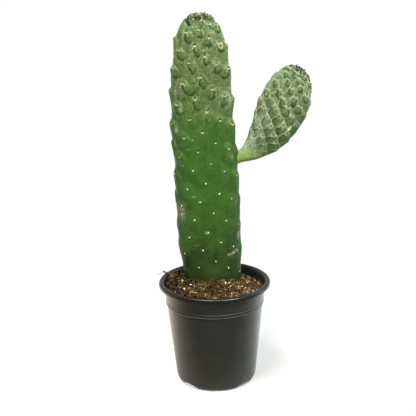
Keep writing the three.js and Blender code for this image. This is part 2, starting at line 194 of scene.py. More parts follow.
# ---- Pot ---------------------------------------------------------------------------------
# One thin-walled black polypropylene nursery pot, injection moulded: a tapered wall with a
# wider collar, a rim that rolls over and stays open below, and a flat foot with drain notches.
POT_SEGMENTS = 144
NOTCH_HEIGHT = 0.0062
NOTCH_HALF_SPREAD = 14.9  # degrees
NOTCH_ROOF_THICKNESS = 0.0014
NOTCH_ROOF_SLOPE = 0.12
NICK_HEIGHT = 0.0014
NICK_HALF_SPREAD = 4.0  # degrees
HOLE_HALF_SPREAD = 5.5  # degrees
FLOOR_THICKNESS = 0.0016
FLOOR_RADIUS = 0.043  # of the two rings that the flat floor closes

# (radius, height) in millimetres: up the outside, over the rim and down the inside
pot_profile = [
    (43.0, 0.0), (43.6, 0.0), (47.0, 0.0), (49.3, 0.0), (50.9, 0.3), (52.6, 1.1), (54.1, 2.3),
    (55.3, 4.0), (56.1, 6.0), (56.6, 8.4), (58.2, 24.0), (61.6, 58.0), (64.9, 92.0),
    (66.7, 111.0), (66.95, 113.4), (67.35, 113.8), (68.30, 114.0), (68.55, 114.5),
    (68.40, 115.0), (67.97, 115.8), (68.20, 118.1), (68.62, 118.5), (68.62, 119.1),
    (68.32, 119.5), (69.0, 126.0), (70.1, 138.4), (70.45, 141.2), (71.0, 142.6), (72.2, 143.4),
    (73.6, 143.6), (74.9, 143.2), (75.7, 142.2), (76.0, 140.8), (76.1, 139.4), (76.35, 139.1),
    (76.9, 139.1), (77.25, 139.4), (77.5, 141.0), (77.4, 142.4), (76.9, 143.6), (75.9, 144.5),
    (74.6, 144.95), (73.2, 145.0), (71.9, 144.7), (70.8, 144.0), (70.0, 142.9), (69.5, 141.4),
    (69.1, 139.0), (68.6, 134.0), (66.45, 114.6), (65.6, 113.2), (63.4, 91.0), (60.1, 57.0),
    (56.7, 24.0), (55.2, 9.4), (54.4, 6.6), (53.0, 4.3), (51.0, 2.5), (48.8, 1.65), (43.6, 1.6),
    (43.0, 1.6),
]
widest_ring = pot_profile.index(max(pot_profile))


def extrude_rings(profile):
    # from the selected ring, one more for each (radius, height) that follows the first
    for (r0, z0), (r1, z1) in zip(profile, profile[1:]):
        bpy.ops.mesh.extrude_edges_move(TRANSFORM_OT_translate={"value": (0, 0, (z1 - z0) / 1000)})
        bpy.ops.transform.resize(value=(r1 / r0, r1 / r0, 1), center_override=(0, 0, 0))


def face_outwards():
    bpy.ops.mesh.select_all(action="SELECT")
    bpy.ops.mesh.normals_make_consistent(inside=False)
    bpy.ops.object.mode_set(mode="OBJECT")


def mesh_points(piece):
    points = np.empty(len(piece.data.vertices) * 3)
    piece.data.vertices.foreach_get("co", points)
    return points.reshape(-1, 3)


def set_points(piece, points):
    piece.data.vertices.foreach_set("co", np.asarray(points, dtype=float).ravel())
    piece.data.update()


def paint(piece, name, values):
    # a number for each point, which the piece's finish reads
    layer = piece.data.attributes.new(name, "FLOAT", "POINT")
    layer.data.foreach_set("value", np.asarray(values, np.float32))


pot = primitive(
    "nursery_pot", bpy.ops.mesh.primitive_circle_add, vertices=POT_SEGMENTS, radius=FLOOR_RADIUS,
    fill_type="NOTHING",
)
bpy.ops.object.mode_set(mode="EDIT")
bpy.ops.mesh.select_all(action="SELECT")
extrude_rings(pot_profile)

# the flat floor of the pot closes both open rings
for ring_height in (0.0, FLOOR_THICKNESS):
    bpy.ops.mesh.select_all(action="DESELECT")
    bpy.ops.object.mode_set(mode="OBJECT")
    for vertex in pot.data.vertices:
        flat = abs(vertex.co.z - ring_height) < 1e-5
        vertex.select = flat and abs(vertex.co.xy.length - FLOOR_RADIUS) < 1e-5
    bpy.ops.object.mode_set(mode="EDIT")
    extrude_rings([(1.0, 0), (0.7, 0), (0.4, 0), (0.1, 0)])
    bpy.ops.mesh.edge_face_add()
face_outwards()

# an arched drain notch on each diagonal and a shallow nick between lift the foot's edge
ring_of = np.arange(len(pot.data.vertices)) // POT_SEGMENTS
spots = mesh_points(pot)
angle = np.degrees(np.arctan2(spots[:, 1], spots[:, 0]))
reach = np.hypot(spots[:, 0], spots[:, 1])
from_diagonal = np.abs(angle % 90 - 45)
from_middle = np.abs((angle + 45) % 90 - 45)
in_wall = ring_of < len(pot_profile)
arch = NOTCH_HEIGHT * np.sqrt(np.clip(1 - (from_diagonal / NOTCH_HALF_SPREAD) ** 2, 0, 1))
lifted = np.where((ring_of >= widest_ring) & in_wall, arch + NOTCH_ROOF_THICKNESS, arch)
lifted = lifted + NOTCH_ROOF_SLOPE * spots[:, 2]
in_notch = (reach > 0.0437) & (spots[:, 2] < 0.0096) & (arch > 0) & in_wall
spots[:, 2] = np.where(in_notch, np.maximum(spots[:, 2], lifted), spots[:, 2])
in_nick = (reach > 0.0472) & (from_middle < NICK_HALF_SPREAD) & (spots[:, 2] < 0.0012)
spots[:, 2] = np.where(in_nick, NICK_HEIGHT, spots[:, 2])
set_points(pot, spots)

# a drain hole through the roof of each arched notch
bpy.ops.object.select_all(action="DESELECT")
pot.select_set(True)
bpy.context.view_layer.objects.active = pot
for hole_angle in (45, 135, 225, 315):
    bpy.ops.object.mode_set(mode="EDIT")
    bpy.ops.mesh.select_all(action="DESELECT")
    bpy.ops.mesh.select_mode(type="FACE")
    bpy.ops.object.mode_set(mode="OBJECT")
    for polygon in pot.data.polygons:
        x, y, z = polygon.center
        turned = math.degrees(math.atan2(y, x)) % 360 - hole_angle
        in_roof = 0.0465 < math.hypot(x, y) < 0.0505 and 0.004 < z < 0.009
        polygon.select = abs(turned) < HOLE_HALF_SPREAD and in_roof
    bpy.ops.object.mode_set(mode="EDIT")
    bpy.ops.mesh.delete(type="FACE")
    bpy.ops.mesh.select_mode(type="EDGE")
    bpy.ops.mesh.select_non_manifold(
        extend=False, use_wire=False, use_boundary=True, use_multi_face=False,
        use_non_contiguous=False, use_verts=False,
    )
    bpy.ops.mesh.bridge_edge_loops()
    bpy.ops.mesh.select_mode(type="VERT")
face_outwards()
bpy.ops.object.shade_smooth_by_angle(angle=math.radians(38))

# the inside is painted darker as painted shade, and both lines round the foot of the collar are painted
# pale as painted highlights
reach = np.hypot(*mesh_points(pot)[:, :2].T)
height = mesh_points(pot)[:, 2]
below_rim = height < 0.1435
in_collar = height >= 0.112
inside_wall = (height > 0.02) & below_rim & (reach < 0.0566 + 0.0966 * (height - 0.0084) - 0.0006)
inside_collar = in_collar & below_rim & (reach < 0.0700)
outside_collar = in_collar & (height < 0.139) & (reach > 0.06675 + 0.0925 * (height - 0.112))
paint(pot, "painted_inside_shade", (inside_wall | inside_collar) & ~outside_collar)
# painted highlight: the two thin lines round the foot of the collar are painted pale
lower_line = (height > 0.1143) & (height < 0.1151) & (reach > 0.0683)
upper_line = (height > 0.1184) & (height < 0.1192) & (reach > 0.0685)
paint(pot, "wear_and_highlight", lower_line | upper_line)


def new_group(name, inputs, outputs):
    # an effect that several finishes share, with its sockets and their kinds
    group = bpy.data.node_groups.new(name, "ShaderNodeTree")
    for in_out, sockets in (("INPUT", inputs), ("OUTPUT", outputs)):
        for socket, kind in sockets.items():
            group.interface.new_socket(name=socket, in_out=in_out, socket_type="NodeSocket" + kind)
    return group, group.nodes.new("NodeGroupInput"), group.nodes.new("NodeGroupOutput")


# fine grain: speckles and soft blotches at two scales, for plastic, skin, cork and soil
grain, grain_in, grain_out = new_group(
    "fine_grain",
    {"Speckle Size": "Float", "Blotch Size": "Float"},
    {"Speckle": "Float", "Blotch": "Float"},
)
for result, detail in (("Speckle", 3), ("Blotch", 4)):
    turns = add_math(grain, "DIVIDE", 1.0, grain_in.outputs[result + " Size"])
    cloud = add_node(grain, "TexNoise", {
        "Vector": add_node(grain, "TexCoord").outputs["Object"],
        "Scale": turns, "Detail": detail, "Roughness": 0.6,
    })
    grain.links.new(cloud.outputs["Fac"], grain_out.inputs[result])


def new_finish(name):
    finish = bpy.data.materials.new(name)
    finish.use_nodes = True
    return finish, finish.node_tree, finish.node_tree.nodes["Principled BSDF"]


def add_grain(tree, speckle_size, blotch_size):
    sizes = {"Speckle Size": speckle_size, "Blotch Size": blotch_size}
    node = add_node(tree, "Group", node_tree=grain)
    plug(tree, node, sizes)
    return node.outputs["Speckle"], node.outputs["Blotch"]


def add_painted(tree, name):
    return add_node(tree, "Attribute", attribute_name=name).outputs["Fac"]


def add_bump(tree, height, strength, distance, **below):
    return add_node(tree, "Bump", {"Height": height, "Strength": strength, "Distance": distance, **below})


pot_finish, tree, shader = new_finish("black_polypropylene")
speckle, blotch = add_grain(tree, 0.0008, 0.030)
height = add_place(tree)["Z"]
near_rim = add_range(tree, height, 0.1345, 0.1370)
dust = add_math(
    tree, "MULTIPLY", add_range(tree, blotch, 0.42, 0.75), add_range(tree, near_rim, 0, 1, 0.35, 0.1)
)
wear_and_highlight = add_painted(tree, "wear_and_highlight")
painted_inside_shade = add_painted(tree, "painted_inside_shade")
plastic = add_layers(
    tree,
    (0.021, 0.022, 0.0155),
    (dust, (0.050, 0.049, 0.034)),
    (add_range(tree, height, 0.030, 0.0, 0, 0.30), (0.045, 0.041, 0.030)),
    # painted light: the upper half of the collar is painted paler against the shade under the rim
    (add_range(tree, height, 0.118, 0.131, 0, 0.45), (0.055, 0.055, 0.040)),
    # painted highlight along the two collar lines
    (add_math(tree, "MULTIPLY", wear_and_highlight, add_range(tree, blotch, 0.3, 0.6, 0.35, 0.85)), (0.15, 0.15, 0.13)),
    # painted shade: the rim and the top of the collar under it are painted near black
    (add_math(tree, "MULTIPLY", near_rim, 0.95), (0.0030, 0.0035, 0.0025)),
    # painted shade: the inside of the pot is painted near black
    (add_math(tree, "MULTIPLY", painted_inside_shade, 0.85), (0.0055, 0.0045, 0.0035)),
)
matt = add_range(tree, blotch, 0.3, 0.75, 0.28, 0.34)
matt = add_math(tree, "ADD", matt, add_math(tree, "MULTIPLY", near_rim, 0.03))
matt = add_math(tree, "ADD", matt, add_math(tree, "MULTIPLY", painted_inside_shade, 0.4))
plug(tree, shader, {
    "Base Color": plastic, "Roughness": matt, "Specular IOR Level": 0.5,
    "Normal": add_bump(tree, speckle, 0.06, 0.0002),
})
pot.data.materials.append(pot_finish)
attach(pot, "root")
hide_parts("pot")


# ---- Soil --------------------------------------------------------------------------------
# Moist brown peat mix, poured in by hand: it stands to the rim at the back left, sinks away at
# the back right, and fills the pot down to its floor. The stem stands in it.
SOIL_LEVEL = 139.5
SOIL_RADIUS = 68
COLLAR_RADIUS = 70.3  # outside the pot, at the collar's height
COLLAR_HEIGHT = 140.4
WALL_THICKNESS = 1.5
WALL_DRAFT = 0.093
SOIL_GAP = 0.6  # between the clods and the wall


def soil_height(x, y):
    # millimetres in, millimetres out
    reach = np.hypot(x, y) / SOIL_RADIUS
    left_back = np.maximum(0, (-x * 0.8 + y * 0.6) / SOIL_RADIUS)
    right_back = np.maximum(0, (x * 0.85 + y * 0.53) / SOIL_RADIUS)
    waves = 0.9 * np.sin(x / 7.3 + 1.1) * np.cos(y / 6.1) + 0.6 * np.sin((x + y) / 4.4)
    return SOIL_LEVEL + 4.6 * left_back**2 - 9.5 * right_back**2 - 0.8 * reach + waves


def wavelets(points, size, count, seed):
    # smooth seeded noise: a sum of waves in random directions, about -1 to 1
    draw = np.random.default_rng(seed)
    total = np.zeros(len(points))
    for _ in range(count):
        direction = draw.normal(size=3)
        direction /= np.linalg.norm(direction)
        pitch = 2 * math.pi / (size * draw.uniform(0.6, 1.6))
        total += np.sin(points @ direction * pitch + draw.uniform(0, 2 * math.pi))
    return total / math.sqrt(count)


# (radius, height) in millimetres: up the wall, then in over the surface ring by ring
soil_profile = [
    (40.5, 2.2), (40.6, 8.4), (52.0, 8.4), (54.4, 12.0), (59.2, 60.0), (64.7, 112.0), (65.6, 116.0),
]
soil_profile += [(67.2 - 1.05 * step, 130 + 0.1 * step) for step in range(64)]
soil = primitive(
    "peat_mix", bpy.ops.mesh.primitive_circle_add, vertices=160, radius=0.0405,
    location=(0, 0, 0.0022), fill_type="NGON",
)
bpy.ops.object.mode_set(mode="EDIT")
bpy.ops.mesh.select_all(action="SELECT")
extrude_rings(soil_profile)
bpy.ops.mesh.edge_face_add()
face_outwards()
clods = mesh_points(soil) * 1000
upper = clods[:, 2] > 129.9
flat_points = np.c_[clods[:, 0], clods[:, 1], np.zeros(len(clods))]
rough = (
    1.3 * wavelets(flat_points, 11, 14, 3)
    + 2.3 * np.abs(wavelets(flat_points, 6.5, 18, 4))
    + 1.0 * wavelets(flat_points, 2.6, 20, 5)
)
clods[upper, 2] = (soil_height(clods[:, 0], clods[:, 1]) + rough - 1.4)[upper]
reach = np.hypot(clods[:, 0], clods[:, 1])
clods[upper & (reach > 66.6), 2] -= 1.0
below_collar = COLLAR_HEIGHT - np.minimum(clods[:, 2], COLLAR_HEIGHT)
wall = COLLAR_RADIUS - WALL_THICKNESS - SOIL_GAP - below_collar * WALL_DRAFT
shrink = np.where(upper & (reach > wall), wall / np.maximum(reach, 1), 1)
clods[:, :2] *= shrink[:, None]
set_points(soil, clods / 1000)
bpy.ops.object.shade_smooth()

soil_finish, tree, shader = new_finish("peat")
speckle, _ = add_grain(tree, 0.0022, 0.009)
fine_speckle, wide_blotch = add_grain(tree, 0.0007, 0.028)
peat = add_layers(
    tree,
    (0.006, 0.0035, 0.0012),
    (add_range(tree, speckle, 0.35, 0.68), (0.100, 0.058, 0.017)),
    (add_range(tree, wide_blotch, 0.40, 0.66, 0, 0.6), (0.046, 0.027, 0.015)),
    (add_range(tree, fine_speckle, 0.62, 0.72, 0, 0.7), (0.20, 0.125, 0.055)),
)
coarse = add_bump(tree, speckle, 0.9, 0.0016)
plug(tree, shader, {
    "Base Color": peat, "Roughness": 0.95, "Specular IOR Level": 0.1,
    "Normal": add_bump(tree, fine_speckle, 0.8, 0.0007, Normal=coarse),
})
soil.data.materials.append(soil_finish)
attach(soil, "root")
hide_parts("soil")


# ---- Crumbs, perlite, bark ---------------------------------------------------------------
# What lies loose in and on the mix: crumbs of peat, expanded white perlite grains and chips of
# composted bark. Each kind is one small shape, copied by a seeded draw and half sunk.
CRUMB_COUNT = 2600
FIBRE_COUNT = 420
SMALL_GRAIN_COUNT = 46
CHIP_COUNT = 44
STEM_SPOT = (-1, 21)
STEM_HALF_WIDTH = 38
STEM_HALF_THICKNESS = 15.5


def new_piece(name, points, faces, finish=None):
    mesh = bpy.data.meshes.new(name)
    mesh.from_pydata(points.tolist(), [], faces)
    mesh.update()
    mesh.polygons.foreach_set("use_smooth", np.ones(len(mesh.polygons), bool))
    piece = bpy.data.objects.new(name, mesh)
    bpy.context.scene.collection.objects.link(piece)
    if finish:
        mesh.materials.append(finish)
    return piece


def scatter(name, shape, places, finish, jitter, seed, patchy=0.0):
    # shape: vertices and faces of one lump; places: one 4x4 matrix for each copy
    draw = np.random.default_rng(seed)
    corners, sides = shape
    points = []
    faces = []
    ground = np.array([(place[0, 3], place[1, 3], 0) for place in places]) * 1000
    patches = np.clip(0.72 + 0.5 * wavelets(ground, 15, 9, 8) + 0.48 * ground[:, 0] / 60, 0, 1)
    tones = np.repeat((1 - patchy) * draw.random(len(places)) + patchy * patches, len(corners))
    for number, place in enumerate(places):
        lump = corners * (1 + jitter * draw.uniform(-1, 1, (len(corners), 1)))
        placed = np.c_[lump, np.ones(len(lump))] @ place.T
        points.append(placed[:, :3])
        faces += [tuple(v + number * len(corners) for v in side) for side in sides]
    piece = new_piece(name, np.vstack(points), faces, finish)
    paint(piece, "tone", tones)
    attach(piece, "root")
    return piece


def shape_of(add, **shape):
    # the points and faces of a primitive, which is then removed
    model = primitive("model", add, **shape)
    points = mesh_points(model)
    sides = [tuple(side.vertices) for side in model.data.polygons]
    bpy.data.objects.remove(model)
    return points, sides


def lump_shape(detail):
    return shape_of(bpy.ops.mesh.primitive_ico_sphere_add, subdivisions=detail, radius=1)


def open_ground(draw, margin, radius=66.5):
    # a spot on the soil, clear of the stem
    while True:
        bearing = draw.uniform(0, 2 * math.pi)
        distance = radius * math.sqrt(draw.uniform(0, 1))
        x = distance * math.cos(bearing)
        y = distance * math.sin(bearing)
        across = (x - STEM_SPOT[0]) / (STEM_HALF_WIDTH + margin)
        if math.hypot(across, (y - STEM_SPOT[1]) / (STEM_HALF_THICKNESS + margin)) > 1:
            return x, y


def lying(draw, x, y, sizes, sink, lean):
    turn = (
        Matrix.Rotation(draw.uniform(0, 6.28), 4, "Z")
        @ Matrix.Rotation(draw.uniform(-lean, lean), 4, "X")
        @ Matrix.Rotation(draw.uniform(-lean, lean), 4, "Y")
    )
    height = float(soil_height(np.array(x), np.array(y))) + sink
    place = Matrix.Translation((x / 1000, y / 1000, height / 1000))
    stretch = Matrix.Diagonal((*[size / 1000 for size in sizes], 1))
    return np.array(place @ turn @ stretch)


def add_tone(tree, low, middle, high):
    # three colours spread over the lumps of one piece
    tone = add_painted(tree, "tone")
    some = add_range(tree, tone, 0.30, 0.62)
    few = add_range(tree, tone, 0.72, 0.97)
    return add_layers(tree, low, (some, middle), (few, high))


def grainy_finish(name, colours, sizes, mottle, roughness, specular=0.5, bump=None):
    # one colour, or three spread over the lumps, under a mottle: which grain it follows, where that
    # starts and is full, then its share and its colour
    finish, tree, shader = new_finish(name)
    speckle, blotch = add_grain(tree, *sizes)
    colour = colours[0] if len(colours) == 1 else add_tone(tree, *colours)
    kind, start, full, share, over = mottle
    grains = speckle if kind == "speckle" else blotch
    colour = add_layers(tree, colour, (add_range(tree, grains, start, full, 0, share), over))
    plug(tree, shader, {"Base Color": colour, "Roughness": roughness, "Specular IOR Level": specular})
    if bump:
        plug(tree, shader, {"Normal": add_bump(tree, speckle, *bump)})
    return finish


draw = np.random.default_rng(11)
crumb_places = []
for _ in range(CRUMB_COUNT):
    x, y = open_ground(draw, -1)
    size = 0.45 + 3.0 * draw.random() ** 3.6
    sizes = (size, size * draw.uniform(0.45, 1), size * draw.uniform(0.4, 0.8))
    crumb_places.append(lying(draw, x, y, sizes, 0.4 + 1.1 * draw.random(), 1.5))
crumb_finish = grainy_finish(
    "peat_crumb", [(0.010, 0.0050, 0.002), (0.140, 0.082, 0.026), (0.480, 0.330, 0.150)],
    (0.0008, 0.0050), ("speckle", 0.42, 0.62, 0.75, (0.016, 0.009, 0.004)),
    roughness=0.95, specular=0.1, bump=(0.7, 0.0005),
)
crumbs = scatter(
    "peat_crumbs", lump_shape(1), crumb_places, crumb_finish, jitter=0.34, seed=12, patchy=0.45
)
crumbs.data.polygons.foreach_set("use_smooth", np.zeros(len(crumbs.data.polygons), bool))

# coarse peat fibres lie every way on the mix
fibre_places = []
for _ in range(FIBRE_COUNT):
    x, y = open_ground(draw, 0)
    long = draw.uniform(1.0, 3.6)
    fibre_places.append(lying(draw, x, y, (long, 0.22, 0.18), 1.0 + 0.5 * draw.random(), 0.4))
fibre_finish, tree, shader = new_finish("peat_fibre")
fibre_tones = add_tone(tree, (0.060, 0.034, 0.014), (0.190, 0.120, 0.055), (0.420, 0.300, 0.160))
plug(tree, shader, {"Base Color": fibre_tones, "Roughness": 0.85, "Specular IOR Level": 0.25})
fibres = scatter("peat_fibres", lump_shape(1), fibre_places, fibre_finish, jitter=0.2, seed=15)

# perlite: the larger grains that lie in sight, as (x, y, size), then small ones by draw
large_grains = [
    (-45, 2, 2.0), (-33, -10, 2.2), (-42, -23, 2.7), (15, -6, 2.3), (21, -3, 2.6), (22, -20, 1.3),
    (-5, -20, 1.1), (-15, -27, 1.2), (-26, -36, 1.2), (22, -45, 1.5), (44, -41, 1.6),
    (58, -26, 1.4), (-47, 14, 1.4), (-51, 11, 1.2), (37, 2, 1.0), (45, 16, 1.3), (-1, 3.5, 1.2),
    (31, 1, 1.2), (58, 26, 1.1),
]
perlite_places = []
for x, y, size in large_grains:
    sizes = (size, size * draw.uniform(0.55, 0.8), size * 0.6)
    perlite_places.append(lying(draw, x, y, sizes, 1.5, 0.7))
for _ in range(SMALL_GRAIN_COUNT):
    x, y = open_ground(draw, 1)
    size = 0.35 + 0.65 * draw.random() ** 1.5
    perlite_places.append(lying(draw, x, y, (size, size * 0.8, size * 0.7), 1.2, 1.5))
perlite_finish = grainy_finish(
    "perlite", [(0.66, 0.56, 0.42), (0.84, 0.78, 0.68), (0.92, 0.88, 0.80)],
    (0.0007, 0.004), ("blotch", 0.5, 0.75, 0.6, (0.42, 0.33, 0.23)),
    roughness=0.85, bump=(0.6, 0.0004),
)
perlite = scatter("perlite_grains", lump_shape(2), perlite_places, perlite_finish, jitter=0.2, seed=13)

# bark chips, and a pale splinter of wood in three bits at the front right
bark_places = []
for _ in range(CHIP_COUNT):
    x, y = open_ground(draw, 3, 63)
    long = draw.uniform(1.4, 3.4)
    sizes = (long, long * draw.uniform(0.3, 0.6), draw.uniform(0.4, 0.7))
    bark_places.append(lying(draw, x, y, sizes, 1.2, 0.6))
bark_finish = grainy_finish(
    "bark_chip", [(0.035, 0.020, 0.010), (0.130, 0.080, 0.040), (0.300, 0.205, 0.110)],
    (0.0010, 0.0060), ("blotch", 0.45, 0.65, 0.6, (0.05, 0.03, 0.015)),
    roughness=0.85, specular=0.3, bump=(0.8, 0.0006),
)
bark = scatter("bark_chips", lump_shape(2), bark_places, bark_finish, jitter=0.18, seed=14)

splinter_places = []
for x, y, *sizes in ((36, -21, 4.8, 2.9, 1.6), (41, -25, 3.8, 1.5, 0.9), (33, -28, 2.8, 1.2, 0.8)):
    splinter_places.append(lying(draw, x, y, sizes, 2.4, 0.4))
splinter_finish = grainy_finish(
    "pale_wood", [(0.190, 0.115, 0.045)],
    (0.0009, 0.0035), ("blotch", 0.38, 0.62, 1, (0.560, 0.400, 0.200)),
    roughness=0.8, bump=(0.8, 0.0006),
)
splinters = scatter(
    "wood_splinters", lump_shape(2), splinter_places, splinter_finish, jitter=0.22, seed=16
)


# a dark bit of twig lies over the rim at the back left, and one thin grey fibre curls out past it
def strand(name, line, radius, finish):
    curve = bpy.data.curves.new(name, "CURVE")
    curve.dimensions = "3D"
    curve.bevel_depth = radius / 1000
    curve.bevel_resolution = 1
    curve.use_fill_caps = True
    path = curve.splines.new("NURBS")
    path.points.add(len(line) - 1)
    for point, (x, y, z) in zip(path.points, line):
        point.co = (x / 1000, y / 1000, z / 1000, 1)
    path.use_endpoint_u = True
    path.order_u = 3
    holder = bpy.data.objects.new(name, curve)
    bpy.context.scene.collection.objects.link(holder)
    bpy.ops.object.select_all(action="DESELECT")
    holder.select_set(True)
    bpy.context.view_layer.objects.active = holder
    bpy.ops.object.convert(target="MESH")
    piece = bpy.context.object
    piece.data.materials.append(finish)
    bpy.ops.object.shade_smooth()
    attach(piece, "root")


twig_finish = grainy_finish(
    "dry_twig", [(0.018, 0.012, 0.008)],
    (0.0008, 0.004), ("blotch", 0.4, 0.6, 1, (0.055, 0.040, 0.026)),
    roughness=0.8, bump=(0.7, 0.0004),
)
twig_line = ((-58, 24, 141.5), (-63, 26, 143.9), (-68, 28, 146.6), (-73.5, 30, 148.2))
spur_line = ((-66, 27, 145.6), (-70, 24.5, 147.4), (-72.5, 24, 147.2))
strand("twig", twig_line, 0.75, twig_finish)
strand("twig_spur", spur_line, 0.5, twig_finish)
grey_finish = grainy_finish(
    "grey_fibre", [(0.150, 0.150, 0.140)],
    (0.0008, 0.004), ("blotch", 0.4, 0.6, 1, (0.300, 0.300, 0.285)), roughness=0.7,
)
root_line = (
    (-58, 26, 141.0), (-65, 29, 145.4), (-71, 31.5, 147.0), (-77, 34, 143.6), (-79, 36, 140.3),
    (-83, 41, 140.6),
)
strand("root_fibre", root_line, 0.28, grey_finish)


# ---- Main pad ----------------------------------------------------------------------------
# The old stem joint: flat, thick and upright. Its skin carries bumps on one spiral, each with an
# arched brow that holds a felt spot, and under it a drop-shaped face. They fade towards the soil.
def ramp(low, high, value):
    t = np.clip((value - low) / (high - low), 0, 1)
    return t * t * (3 - 2 * t)


def one_ramp(low, high, value):
    return float(ramp(low, high, np.array(float(value))))


def bell(*parts):
    # 1 at nought, and soft slopes down to 0 all round
    return np.exp(-sum(part**2 for part in parts))


def along_stations(stations, position):
    # smooth curve through (position, value) stations, with no overshoot
    xs, ys = np.array(stations, float).T
    slopes = np.diff(ys) / np.diff(xs)
    product = slopes[:-1] * slopes[1:]
    total = slopes[:-1] + slopes[1:]
    inner = np.where(product > 0, 2 * product / np.where(total == 0, 1, total), 0)
    at = np.r_[slopes[0], inner, slopes[-1]]
    p = np.clip(np.asarray(position, float), xs[0], xs[-1])
    i = np.clip(np.searchsorted(xs, p, side="right") - 1, 0, len(xs) - 2)
    width = xs[i + 1] - xs[i]
    t = (p - xs[i]) / width
    return (
        (2 * t**3 - 3 * t**2 + 1) * ys[i]
        + (t**3 - 2 * t**2 + t) * at[i] * width
        + (3 * t**2 - 2 * t**3) * ys[i + 1]
        + (t**3 - t**2) * at[i + 1] * width
    )


def pad_base(pad, rows, columns):
    # plain surface of a pad: rows along its axis, columns round its girth from the left edge
    outline_steps = 720
    angles = math.pi + 2 * math.pi * np.arange(outline_steps + 1) / outline_steps
    power = 2 / pad["squareness"]
    unit_x = np.sign(np.cos(angles)) * np.abs(np.cos(angles)) ** power
    unit_y = np.sign(np.sin(angles)) * np.abs(np.sin(angles)) ** power
    shares = np.arange(columns) / columns
    base = np.empty((len(rows), columns, 3))
    girth = np.empty(len(rows))
    for number, along in enumerate(rows):
        xs = unit_x * along_stations(pad["half_width"], along)
        ys = unit_y * along_stations(pad["half_thickness"], along)
        lengths = np.r_[0, np.cumsum(np.hypot(np.diff(xs), np.diff(ys)))]
        girth[number] = lengths[-1]
        x = np.interp(shares * lengths[-1], lengths, xs) + along_stations(pad["centre"], along)
        y = np.interp(shares * lengths[-1], lengths, ys)
        across = x[:, None] * pad["side"] + y[:, None] * pad["back"]
        base[number] = pad["root"] + along * pad["axis"] + across
    return base, girth


